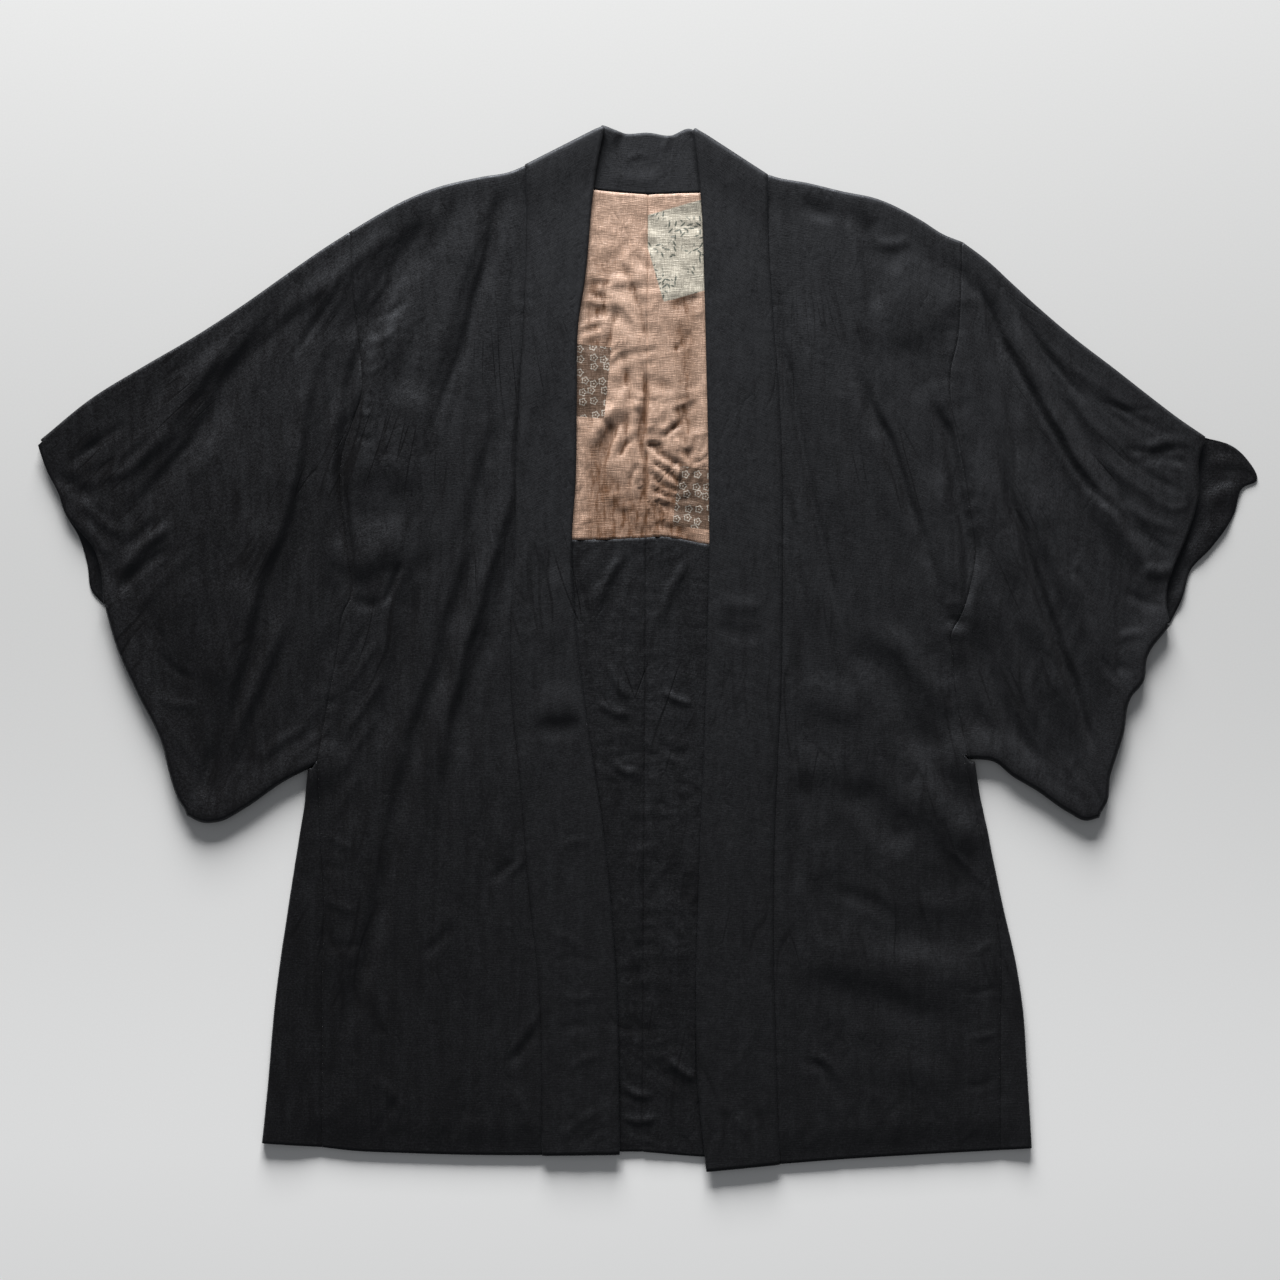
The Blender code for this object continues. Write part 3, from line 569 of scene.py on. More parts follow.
RIGHT_FOLDS: tuple[Fold, ...] = (
    # On the sleeve.
    Fold(((337, 359), (347, 329), (356, 297), (363, 271), (366, 245), (372, 213)), 9, 12, -2.4, 0.3),
    Fold(((348, 363), (364, 327), (380, 283), (392, 245)), 10, 9, 1.5, 0.2),
    Fold(((356, 349), (386, 277), (414, 215), (450, 155), (484, 101), (516, 59)), 13, 24, 4.2, 0.3),
    Fold(((370, 331), (396, 283), (426, 229), (458, 173), (492, 119), (516, 83)), 12, 8, -1.5, 0.35),
    Fold(((348, 229), (367, 137), (396, 47), (424, -31), (450, -111)), 7, 9, -3.8, 0.5),
    Fold(((338, 219), (354, 139), (382, 49), (410, -35), (436, -113)), 10, 28, 4.0, 0.2),
    Fold(((372, 209), (392, 129), (426, 49), (452, -31), (462, -91)), 34, 18, 3.2, 0.0),
    Fold(((397, 269), (412, 239), (427, 209)), 7, 7, -1.0, 0.3),
    Fold(((324, 49), (342, -31), (372, -91), (398, -133)), 14, 16, -3.2, 0.2),
    Fold(((332, 209), (336, 129), (352, 39), (376, -41), (404, -107)), 12, 14, 1.5, 0.0),
    Fold(((312, 9), (320, -51), (336, -95)), 14, 16, -1.8, 0.0),
    Fold(((336, 387), (362, 357), (392, 331), (422, 307)), 7, 8, -1.1, 0.4),
    Fold(((352, 381), (392, 347), (432, 313), (472, 283)), 7, 7, 1.1, 0.3),
    Fold(((402, 327), (448, 283), (492, 257), (528, 235)), 7, 7, -1.2, 0.4),
    Fold(((392, 315), (432, 275), (474, 247), (512, 223)), 8, 8, 1.3, 0.3),
    Fold(((424, 269), (458, 237), (492, 213)), 6, 7, -0.9, 0.5),
    Fold(((412, 263), (442, 225), (472, 201)), 7, 7, 1.0, 0.4),
    Fold(((490, 194), (518, 209), (550, 203)), 8, 7, 1.5, 0.4),
    Fold(((482, 183), (512, 191), (544, 183)), 7, 7, -1.1, 0.4),
    Fold(((464, 247), (502, 223), (546, 211)), 6, 6, -1.0, 0.5),
    Fold(((444, 203), (478, 167), (518, 143)), 8, 8, 1.2, 0.3),
    Fold(((462, 205), (498, 173), (538, 157)), 7, 7, -1.0, 0.4),
    Fold(((472, 149), (502, 127), (534, 117)), 7, 7, 1.1, 0.4),
    Fold(((482, 129), (508, 105), (528, 93)), 7, 7, -1.1, 0.4),
    Fold(((522, 193), (536, 165), (538, 139)), 7, 7, 1.2, 0.3),
    Fold(((502, 149), (524, 141), (542, 145)), 5, 5, 0.9, 0.5),
    Fold(((492, 83), (512, 77), (528, 83)), 10, 12, 2.0, 0.3),
    Fold(((472, 59), (502, 45), (516, 39)), 8, 9, -1.1, 0.3),
    Fold(((447, -3), (458, -19), (470, -35)), 6, 6, -0.9, 0.4),
    Fold(((464, -15), (480, -21), (496, -19)), 7, 9, -1.5, 0.2),
    Fold(((460, -33), (476, -41), (486, -55)), 5, 5, 1.0, 0.5),
    Fold(((456, -45), (470, -57), (478, -73)), 5, 5, -0.8, 0.5),
    Fold(((464, 9), (482, 15), (502, 13)), 8, 8, 1.2, 0.2),
    Fold(((414, 89), (436, 67), (452, 39)), 8, 8, -0.8, 0.3),
    Fold(((392, -1), (382, -41), (388, -81)), 8, 8, 1.0, 0.2),
    Fold(((436, -151), (446, -163), (456, -151)), 6, 6, 1.8, 0.3),
    Fold(((412, -111), (428, -135), (440, -157)), 9, 9, 1.5, 0.2),
    Fold(((382, -121), (406, -135), (430, -151)), 8, 8, -1.2, 0.2),
    Fold(((452, -91), (454, -121), (452, -151)), 8, 8, -1.3, 0.2),
    Fold(((318, 388), (354, 308), (390, 243), (434, 171), (477, 127), (512, 85)), 6, 7, -3.0, 0.5),
    Fold(((312, 389), (337, 344), (352, 274), (367, 209), (366, 149)), 6, 6, -1.9, 0.4),
    Fold(((366, 119), (382, 69), (404, 9), (428, -51), (454, -131)), 6, 6, -2.2, 0.4),
    Fold(((289, 250), (303, 200), (310, 149), (317, 104), (319, 59), (312, 23)), 6, 8, -4.2, 0.5),
    Fold(((342, 381), (382, 319), (422, 265), (462, 219)), 5, 5, -1.4, 0.4),
    Fold(((412, 319), (452, 283), (502, 253)), 5, 5, -1.4, 0.4),
    Fold(((442, 249), (482, 239), (528, 239)), 5, 6, -1.6, 0.4),
    Fold(((472, 199), (502, 197), (538, 203)), 5, 6, -1.4, 0.4),
    Fold(((302, 43), (328, 49), (356, 57)), 60, 56, 2.0, 0.0),
    # On the shoulder.
    Fold(((228, 363), (268, 347), (302, 315)), 54, 60, 2.2, 0.0),
    Fold(((214, 405), (236, 391), (260, 385)), 18, 18, -0.6, 0.0),
    Fold(((152, 451), (170, 441), (192, 435)), 16, 16, -1.4, 0.0),
    Fold(((198, 447), (218, 427), (232, 417)), 14, 18, -1.2, 0.0),
    Fold(((248, 313), (266, 281), (284, 247)), 28, 30, -1.2, 0.0),
    Fold(((312, 383), (318, 365), (328, 347)), 6, 6, -1.1, 0.4),
    Fold(((332, 381), (340, 365), (352, 347)), 6, 6, 1.1, 0.4),
    Fold(((224, 409), (242, 403), (264, 409)), 9, 9, 1.0, 0.2),
    # Beside the armhole.
    Fold(((276, 263), (294, 225), (304, 193), (308, 163), (318, 129), (326, 93), (322, 49)
          ), 9, 12, -3.2, 0.6),
    Fold(((290, 283), (302, 245), (312, 207), (320, 167)), 6, 6, 1.5, 0.4),
    Fold(((288, 187), (296, 129), (302, 73), (306, 33)), 14, 22, 2.4, 0.1),
    Fold(((298, 169), (302, 139), (304, 109)), 4, 4, -0.8, 0.4),
    Fold(((308, 139), (310, 99), (308, 59)), 4, 4, 0.8, 0.4),
    Fold(((294, 109), (298, 79), (300, 49)), 4, 4, -0.8, 0.4),
    Fold(((294, 43), (308, 45), (320, 37)), 9, 9, 0.8, 0.2),
    Fold(((296, 27), (308, 27), (320, 21)), 8, 8, -0.8, 0.2),
    Fold(((298, 13), (310, 15), (320, 9)), 9, 9, 0.7, 0.2),
    Fold(((282, 9), (296, -11), (302, -41)), 14, 14, -0.8, 0.0),
    # On the front.
    Fold(((197, 443), (204, 399), (209, 365), (215, 327), (222, 289)), 10, 12, 1.8, 0.35),
    Fold(((210, 435), (216, 397), (222, 361), (226, 331)), 14, 8, -1.3, 0.1),
    Fold(((205, 299), (224, 245), (240, 207), (258, 157), (278, 101), (296, 49)), 7, 9, -3.4, 0.5),
    Fold(((194, 293), (212, 239), (230, 197), (248, 145), (266, 93)), 8, 26, 1.8, 0.2),
    Fold(((122, 387), (127, 347), (136, 299), (144, 257), (152, 209), (162, 157), (172, 107), (184, 59),
          (200, 7)), 8, 6, -3.2, 0.5),
    Fold(((152, 369), (164, 289), (178, 209), (190, 149), (204, 89)), 26, 20, 2.0, 0.0),
    Fold(((200, 13), (218, -5), (236, -23), (252, -55), (268, -87), (300, -115)), 22, 24, -3.4, 0.1),
    Fold(((232, 29), (258, -3), (282, -41), (304, -75)), 16, 16, 2.0, 0.1),
    Fold(((135, 187), (140, 137), (146, 97), (151, 45)), 8, 6, -1.5, 0.3),
    Fold(((144, 179), (152, 119), (160, 59), (170, 9)), 7, 8, 1.1, 0.1),
    Fold(((134, -115), (164, -118), (204, -125)), 30, 34, 1.5, 0.0),
    Fold(((138, -137), (170, -139), (202, -143)), 16, 22, -0.6, 0.0),
    Fold(((142, -41), (182, -51), (222, -63)), 30, 24, 1.5, 0.0),
    Fold(((202, -127), (220, -155), (242, -181), (264, -201)), 30, 26, -3.2, 0.0),
    Fold(((257, -121), (282, -151), (312, -183), (340, -201)), 26, 34, 3.2, 0.0),
    Fold(((228, -271), (264, -283), (308, -285), (348, -277)), 34, 30, -1.6, 0.0),
    Fold(((264, -231), (292, -235), (322, -241)), 26, 26, -1.0, 0.0),
    Fold(((292, -191), (318, -217), (348, -247)), 4, 5, 0.8, 0.7),
    Fold(((182, -237), (204, -245), (226, -255), (250, -281)), 12, 12, -1.5, 0.2),
    Fold(((172, -191), (178, -213), (184, -231)), 26, 22, 0.7, 0.0),
    Fold(((136, -291), (182, -301), (228, -317), (282, -327), (344, -335)), 40, 42, 2.4, 0.0),
    Fold(((148, -327), (198, -343), (248, -357), (296, -381)), 22, 30, -1.0, 0.0),
    Fold(((149, -411), (166, -413), (182, -435), (194, -459)), 8, 7, -1.2, 0.5),
    Fold(((158, -403), (178, -411), (196, -437)), 7, 6, 0.9, 0.3),
    Fold(((147, -157), (145, -201), (148, -247)), 12, 8, -1.5, 0.1),
    Fold(((164, -157), (162, -201), (166, -247)), 12, 8, 0.9, 0.0),
    Fold(((332, -473), (318, -487), (306, -499)), 3, 3, 0.6, 0.7),
    Fold(((232, -411), (272, -423), (312, -427)), 22, 24, 1.2, 0.0),
    Fold(((346, -291), (332, -299), (316, -303)), 6, 6, 0.8, 0.4),
    Fold(((350, -337), (336, -343), (318, -345)), 6, 6, -0.7, 0.4),
    Fold(((350, -381), (336, -387), (320, -387)), 6, 6, 0.8, 0.4),
    Fold(((348, -427), (330, -435), (314, -433)), 6, 6, -0.7, 0.4),
    Fold(((232, -471), (228, -485), (226, -501)), 8, 8, -0.7, 0.2),
    Fold(((252, -451), (248, -477), (244, -499)), 8, 8, 0.8, 0.2),
    Fold(((232, 234), (252, 184), (262, 129), (282, 59)), 6, 6, -1.8, 0.4),
    Fold(((218, 434), (224, 389), (232, 339)), 6, 6, -1.6, 0.4),
    # On the collar.
    Fold(((117, -365), (98, -397), (76, -435)), 3, 3, 0.7, 0.7),
    Fold(((94, 409), (97, 319), (98, 229)), 16, 18, 0.8, 0.0),
    Fold(((68, 27), (90, 15), (118, 15)), 14, 12, -1.1, 0.0),
    Fold(((68, 49), (90, 43), (118, 45)), 12, 12, 0.9, 0.0),
    Fold(((90, -51), (94, -151), (92, -251)), 18, 16, 0.8, 0.0),
    Fold(((68, -449), (88, -467), (104, -491)), 8, 8, 0.8, 0.2),
    Fold(((94, -445), (108, -469), (116, -491)), 7, 7, -0.7, 0.2),
    Fold(((74, 459), (94, 473), (112, 471)), 9, 9, 0.8, 0.2),
)

RIGHT_CUFF_FOLDS: tuple[Fold, ...] = (
    Fold(((556, 219), (580, 215), (606, 193)), 14, 24, 1.8, 0.2),
    Fold(((556, 181), (580, 187), (608, 173)), 12, 24, 1.6, 0.3),
    Fold(((546, 137), (570, 155), (598, 163)), 14, 26, 2.2, 0.3),
    Fold(((536, 83), (560, 113), (586, 137)), 16, 30, 2.2, 0.2),
    Fold(((520, 39), (540, 63), (560, 87)), 14, 24, 1.8, 0.3),
    Fold(((574, 203), (590, 197), (606, 183)), 5, 6, 1.0, 0.5),
    Fold(((566, 179), (586, 179), (608, 171)), 5, 6, -1.0, 0.5),
    Fold(((548, 129), (556, 149), (560, 179)), 6, 8, -1.6, 0.3),
)

LINING_FOLDS: tuple[Fold, ...] = (
    Fold(((-6, 437), (-8, 319), (-8, 209), (-2, 109)), 62, 62, 3.4, 0.0),
    Fold(((-28, 395), (-12, 357), (-3, 311), (-5, 269)), 6, 9, -2.4, 0.5),
    Fold(((-26, 309), (-21, 269), (-20, 225), (-26, 179)), 7, 7, -2.6, 0.5),
    Fold(((-8, 299), (-3, 249), (-7, 209), (-3, 179), (-6, 129)), 6, 6, -3.6, 0.5),
    Fold(((-14, 241), (-34, 217), (-47, 187), (-49, 153), (-46, 113)), 9, 12, -3.4, 0.4),
    Fold(((47, 251), (32, 225), (8, 205)), 5, 6, -2.0, 0.5),
    Fold(((-6, 209), (20, 191), (44, 179)), 5, 6, -2.2, 0.5),
    Fold(((-40, 381), (-44, 349), (-42, 319)), 5, 6, -1.6, 0.4),
    Fold(((-28, 345), (-38, 315), (-42, 277)), 6, 6, -2.0, 0.4),
    Fold(((-2, 179), (20, 163), (46, 159)), 6, 6, -1.8, 0.4),
    Fold(((0, 149), (28, 141), (58, 129)), 6, 6, -2.2, 0.4),
    Fold(((-38, 143), (-22, 129), (-8, 109)), 6, 6, -2.0, 0.4),
    Fold(((42, 319), (32, 303), (20, 297)), 5, 5, -1.4, 0.4),
    Fold(((52, 357), (40, 345), (24, 341)), 5, 5, -1.2, 0.4),
    Fold(((-60, 197), (-46, 225), (-32, 249)), 10, 9, 1.8, 0.2),
    Fold(((-4, 275), (-3, 245), (-4, 203)), 4, 4, -3.0, 0.5),
    Fold(((0, 191), (18, 179), (38, 163)), 4, 5, -2.4, 0.5),
    Fold(((-2, 165), (18, 155), (52, 149)), 4, 5, -2.0, 0.5),
    Fold(((-2, 201), (8, 203), (20, 199)), 4, 4, -1.8, 0.5),
    Fold(((-12, 209), (-22, 203), (-32, 187)), 4, 5, -2.0, 0.5),
    Fold(((-8, 187), (-18, 173), (-20, 155)), 4, 5, -1.8, 0.5),
    Fold(((2, 129), (22, 121), (42, 115)), 4, 5, -2.0, 0.5),
    Fold(((-32, 149), (-42, 133), (-48, 115)), 4, 5, -1.8, 0.5),
    Fold(((-16, 143), (-26, 125), (-30, 109)), 4, 5, -1.8, 0.5),
    Fold(((28, 341), (40, 349), (54, 353)), 4, 4, -1.2, 0.5),
    Fold(((46, 253), (38, 233), (16, 213)), 4, 5, -2.2, 0.5),
)

FACING_FOLDS: tuple[Fold, ...] = (
    Fold(((-8, 101), (-26, 69), (-42, 29), (-50, -15)), 7, 8, -1.8, 0.4),
    Fold(((-22, 101), (-40, 69), (-54, 37)), 8, 8, 2.0, 0.3),
    Fold(((42, 93), (24, 59), (12, 19)), 8, 8, 1.6, 0.3),
    Fold(((-44, -11), (-30, -35), (-14, -51)), 7, 7, 1.6, 0.3),
    Fold(((-52, -51), (-34, -63), (-14, -63)), 6, 6, 1.6, 0.4),
    Fold(((-38, -111), (-22, -123), (-8, -121)), 6, 6, 1.6, 0.4),
    Fold(((12, -41), (28, -51), (48, -55)), 6, 6, 1.6, 0.4),
    Fold(((8, -91), (24, -103), (46, -103)), 6, 6, -1.4, 0.4),
    Fold(((12, -419), (28, -433), (48, -447)), 8, 7, -2.4, 0.4),
    Fold(((16, -407), (34, -421), (50, -431)), 6, 6, 1.6, 0.2),
    Fold(((-8, -171), (-12, -251), (-14, -331)), 10, 10, 1.4, 0.0),
    Fold(((-28, -431), (-14, -443), (6, -447)), 6, 6, 1.4, 0.3),
    Fold(((-26, -463), (-8, -471), (12, -469)), 6, 6, 1.4, 0.3),
)

LEFT_ARMHOLE: Line = (
    (-297, 413), (-294, 349), (-288, 299), (-286, 254), (-296, 225), (-305, 199), (-308, 169),
    (-305, 129), (-299, 89), (-298, 49), (-304, 37), (-310, -1), (-323, -71), (-330, -112),
)
LEFT_GUSSET: Line = ((-330, -112), (-328, -180), (-324, -251), (-326, -330), (-326, -400), (-326, -497))
LEFT_COLLAR: Line = (
    (-121, 480), (-121, 407), (-124, 325), (-128, 243), (-132, 162), (-132, 100), (-136, 39),
    (-136, -41), (-126, -148), (-120, -227), (-108, -346), (-105, -505),
)
RIGHT_ARMHOLE: Line = (
    (313, 403), (312, 349), (309, 309), (302, 277), (302, 249), (308, 217), (314, 187), (319, 159),
    (323, 129), (327, 94), (323, 69), (318, 49), (310, 29), (303, 17), (305, -11), (308, -51),
    (314, -81), (319, -106),
)
RIGHT_GUSSET: Line = (
    (315, -106), (326, -155), (336, -204), (346, -255), (352, -300), (352, -380), (352, -500),
)
RIGHT_COLLAR: Line = (
    (118, 470), (121, 386), (125, 325), (131, 243), (134, 149), (134, 80), (132, -51), (129, -109),
    (125, -227), (125, -306), (127, -385), (131, -514),
)

LEFT = Side(
    name="left",
    sign=-1,
    shoulder=((-121, 483), (-138, 476), (-166, 471), (-215, 459), (-250, 444), (-268, 434), (-298, 416)),
    neck_turn=(-0.42, 0.907),
    armhole_turn=(-0.53, 0.848),
    armhole=LEFT_ARMHOLE,
    gusset_seam=LEFT_GUSSET,
    gusset_edge=((-337, -119), (-347, -183), (-358, -253), (-371, -343), (-379, -433), (-385, -493)),
    back_side=((-322, -119), (-370, -493)),
    hem=((-105, -505), (-158, -505), (-240, -503), (-301, -500), (-326, -497)),
    back_hem=((-6, -502), (-120, -501), (-370, -493)),
    collar_seam=LEFT_COLLAR,
    collar_edge=(
        (-44, 519), (-50, 490), (-55, 459), (-64, 367), (-70, 329), (-72, 249), (-73, 169), (-77, 109),
        (-73, 19), (-65, -51), (-45, -188), (-33, -326), (-29, -504),
    ),
    sleeve_top=(
        (-298, 416), (-326, 398), (-362, 373), (-403, 344), (-452, 312), (-505, 281), (-554, 251),
        (-606, 209),
    ),
    cuff_back=(
        (-609, 206), (-600, 179), (-587, 153), (-584, 140), (-568, 111), (-560, 84), (-556, 59), (-542, 43),
    ),
    cuff_front=(
        (-609, 206), (-600, 179), (-587, 153), (-582, 137), (-565, 116), (-553, 101), (-546, 80), (-542, 43),
    ),
    sleeve_end=((-542, 43), (-530, 2), (-509, -45), (-485, -94), (-477, -126), (-468, -151), (-460, -163)),
    sleeve_bottom=((-330, -115), (-362, -131), (-403, -159), (-428, -172), (-444, -173), (-460, -166)),
    relief=Relief(
        folds=LEFT_FOLDS,
        crinkles=(
            Crinkle((-60, 1000), 900, spacing=26, length=120, height=0.2, seed=11),
            Crinkle((-60, 1000), 900, spacing=11, length=26, height=0.13, seed=14),
            Crinkle((400, 900), 1100, spacing=9, length=14, height=0.09, seed=17, patchy=0.9),
            Crinkle((-250, 440), 330, spacing=13, length=60, height=0.55, seed=111, within=(-530, 190, 90)),
            Crinkle((-500, 900), 900, spacing=12, length=30, height=0.35, seed=114, within=(-560, 130, 50)),
            Crinkle((-380, 300), 500, spacing=10, length=40, height=0.35, seed=117, within=(-400, -170, 80)),
            Crinkle((-60, 900), 1350, spacing=11, length=34, height=0.35, seed=121, within=(-60, -440, 110)),
            Crinkle((-300, 300), 300, spacing=12, length=50, height=0.4, seed=124, within=(-290, 260, 90)),
        ),
        seams=(
            Seam(LEFT_ARMHOLE, dip=0.5, pucker=0.5, seed=21),
            Seam(LEFT_GUSSET, dip=0.7, pucker=0.4, seed=22, spacing=13),
            Seam(LEFT_COLLAR, dip=0.9, pucker=0.35, seed=23, spacing=9, reach=11),
        ),
        seed=100,
    ),
)

RIGHT = Side(
    name="right",
    sign=1,
    shoulder=((118, 474), (127, 471), (159, 465), (192, 457), (229, 449), (272, 428), (296, 413), (314, 406)),
    neck_turn=(0.42, 0.907),
    armhole_turn=(0.52, 0.854),
    armhole=RIGHT_ARMHOLE,
    gusset_seam=RIGHT_GUSSET,
    gusset_edge=(
        (324, -113), (333, -155), (343, -204), (355, -261), (367, -314), (374, -359), (378, -420),
        (383, -498),
    ),
    back_side=((310, -113), (368, -498)),
    hem=((131, -514), (196, -509), (278, -504), (352, -500)),
    back_hem=((-6, -502), (53, -507), (200, -503), (368, -498)),
    collar_seam=RIGHT_COLLAR,
    collar_edge=(
        (45.8, 516.8), (49, 490), (53, 456), (57, 367), (59, 289), (61, 199), (62, 89), (60, 9), (58, -69),
        (52, -227), (49, -346), (50, -425), (59, -521),
    ),
    sleeve_top=(
        (314, 406), (338, 388), (363, 365), (387, 343), (427, 309), (465, 280), (502, 251), (531, 229),
        (556, 212),
    ),
    cuff_back=(
        (558, 209), (576, 206), (596, 192), (608, 168), (595, 162), (585, 134), (563, 102), (542, 79),
        (533, 50), (520, 23),
    ),
    cuff_front=((558, 209), (552, 198), (549, 151), (536, 109), (526, 86), (518, 62), (517, 42), (520, 23)),
    sleeve_end=(
        (520, 23), (498, -8), (494, -33), (482, -48), (474, -86), (467, -108), (461, -127), (458, -152),
        (450, -166),
    ),
    sleeve_bottom=((319, -109), (347, -113), (363, -126), (388, -141), (420, -163), (437, -171), (450, -168)),
    relief=Relief(
        folds=RIGHT_FOLDS,
        crinkles=(
            Crinkle((60, 1000), 900, spacing=28, length=120, height=0.2, seed=31),
            Crinkle((60, 1000), 900, spacing=11, length=26, height=0.12, seed=34),
            Crinkle((-400, 900), 1100, spacing=9, length=14, height=0.09, seed=37, patchy=0.9),
            Crinkle((300, 520), 330, spacing=12, length=44, height=0.6, seed=131, within=(500, 240, 90)),
            Crinkle((440, 420), 300, spacing=12, length=60, height=0.4, seed=134, within=(440, 60, 130)),
            Crinkle((60, 900), 1350, spacing=11, length=34, height=0.35, seed=137, within=(190, -440, 130)),
            Crinkle((200, 500), 700, spacing=11, length=40, height=0.35, seed=141, within=(400, -160, 80)),
        ),
        seams=(
            Seam(RIGHT_ARMHOLE, dip=0.4, pucker=0.5, seed=41),
            Seam(RIGHT_GUSSET, dip=0.7, pucker=0.4, seed=42, spacing=13),
            Seam(RIGHT_COLLAR, dip=0.9, pucker=0.3, seed=43, spacing=10, reach=11),
        ),
        seed=200,
    ),
    cuff_relief=Relief(folds=RIGHT_CUFF_FOLDS, seed=250),
)


def on_back(relief: Relief, points: Array) -> Array:
    """Height of the middle of a cloth that lies on the back."""
    return softly_above(STACK.inner + relief.at(points), STACK.inner - STACK.sag, STACK.sag_bend)


# ---------------------------------------------------------------- making the cloth


@dataclass
class Wall:
    """A cloth's middle surface and the way that its outer side faces, from which a closed wall is made."""

    BULGE = 0.42  # how far the rim stands out, as a share of the cloth's thickness

    middle: list[Array] = field(default_factory=list)
    ways: list[Array] = field(default_factory=list)
    spots: list[Array] = field(default_factory=list)
    quads: list[Array] = field(default_factory=list)
    count: int = 0

    def add(self, places: Array, ways: Array, spots: Array) -> Array:
        """Adds points.

        Args:
            places: their places in space.
            ways: the way that the cloth's outer side faces at each.
            spots: each one's place on the cloth itself.

        Returns:
            The points' numbers.
        """
        self.middle.append(places)
        self.ways.append(ways)
        self.spots.append(spots)
        first, self.count = self.count, self.count + len(places)
        return np.arange(first, self.count)

    def join(self, numbers: Array) -> None:
        """Fills a grid of point numbers with four-sided faces."""
        corners = (numbers[:-1, :-1], numbers[:-1, 1:], numbers[1:, 1:], numbers[1:, :-1])
        self.quads.append(np.stack(corners, axis=-1).reshape(-1, 4))

    def layer(
        self, points: Array, height: Array | float, way: int, start: tuple[float, float] = (0, 0)
    ) -> Array:
        """Adds a grid of cloth.

        Args:
            points: grid of places in the plane.
            height: height of each.
            way: 1 where the outer side looks up, -1 where it looks down.
            start: where the grid's first point lies on the cloth.

        Returns:
            The grid of point numbers.
        """
        height = np.broadcast_to(height, points.shape[:-1])
        places = np.concatenate([points, height[..., None]], axis=-1).reshape(-1, 3)
        across = np.linalg.norm(np.diff(points, axis=1), axis=-1).mean(axis=0)
        down = np.linalg.norm(np.diff(points, axis=0), axis=-1).mean(axis=1)
        u = start[0] + np.concatenate([[0.0], np.cumsum(across)])
        v = start[1] - way * np.concatenate([[0.0], np.cumsum(down)])
        spots = np.stack(np.meshgrid(u, v), axis=-1).reshape(-1, 2)
        numbers = self.add(places, np.tile((0.0, 0.0, float(way)), (len(places), 1)), spots)
        numbers = numbers.reshape(points.shape[:-1])
        self.join(numbers)
        return numbers

    def turn(self, over: Array, under: Array, out: Array, steps: int = 8) -> None:
        """Rolls the cloth round an edge.

        Args:
            over: numbers of the points that the roll starts from.
            under: numbers of the points below them that it ends at.
            out: the way that the roll bulges, in the plane, at each.
            steps: flats round the roll.
        """
        middle, spots = np.concatenate(self.middle), np.concatenate(self.spots)
        top, low = middle[over], middle[under]
        radius = np.abs(top[:, 2] - low[:, 2])[:, None] / 2
        level = np.concatenate([out, np.zeros((len(out), 1))], axis=1)
        rows = [over]
        for step in range(1, steps):
            angle = math.pi / 2 - math.pi * step / steps
            ways = math.cos(angle) * level + math.sin(angle) * np.array([0.0, 0.0, 1.0])
            share = step / steps
            places = top + (low - top) * share
            places[:, 2] = ((top + low)[:, 2] / 2) + (radius[:, 0] * math.sin(angle))
            places += radius * math.cos(angle) * level
            run = spots[over] + np.array([0.0, math.pi]) * radius * share
            rows.append(self.add(places, ways, run))
        rows.append(under)
        self.join(np.array(rows))

    def build(self, name: str, wall: float) -> bpy.types.Object:
        """Makes the closed wall: both sides of the cloth and a rounded rim.

        Args:
            name: the piece's name.
            wall: thickness of the cloth.

        Returns:
            The finished object, at the origin.
        """
        middle, ways = np.concatenate(self.middle), np.concatenate(self.ways)
        ways = ways / np.linalg.norm(ways, axis=1)[:, None]
        quads, count = np.concatenate(self.quads), len(middle)
        corner = middle[quads]
        facing = np.cross(corner[:, 2] - corner[:, 0], corner[:, 3] - corner[:, 1])
        backward = (facing * ways[quads].mean(axis=1)).sum(axis=1) < 0
        quads[backward] = quads[backward][:, ::-1]

        edges = np.concatenate([quads[:, [0, 1]], quads[:, [1, 2]], quads[:, [2, 3]], quads[:, [3, 0]]])
        _, first, uses = np.unique(np.sort(edges, axis=1), axis=0, return_index=True, return_counts=True)
        rim = edges[first[uses == 1]]
        away = np.cross(middle[rim[:, 1]] - middle[rim[:, 0]], ways[rim[:, 0]])
        push = np.zeros_like(middle)
        np.add.at(push, rim[:, 0], away)
        np.add.at(push, rim[:, 1], away)
        on_rim = np.unique(rim)
        push = push[on_rim] / np.maximum(np.linalg.norm(push[on_rim], axis=1), 1e-9)[:, None]
        place = np.zeros(count, int)
        place[on_rim] = 2 * count + np.arange(len(on_rim))

        half = ways * wall / 2
        points = np.concatenate([middle + half, middle - half, middle[on_rim] + push * wall * self.BULGE])
        a, b = rim[:, 0], rim[:, 1]
        faces = np.concatenate([
            quads,
            quads[:, ::-1] + count,
            np.stack([b, a, place[a], place[b]], axis=1),
            np.stack([a + count, b + count, place[b], place[a]], axis=1),
        ])
        spots = np.concatenate(self.spots)
        spots = np.concatenate([spots, spots, spots[on_rim]])
        return make_object(name, points * MM, faces, spots * MM)


def place_in_scene(name: str, data: bpy.types.ID) -> bpy.types.Object:
    """An object that holds this data, linked into the scene at the origin."""
    thing = bpy.data.objects.new(name, data)
    bpy.context.scene.collection.objects.link(thing)
    return thing


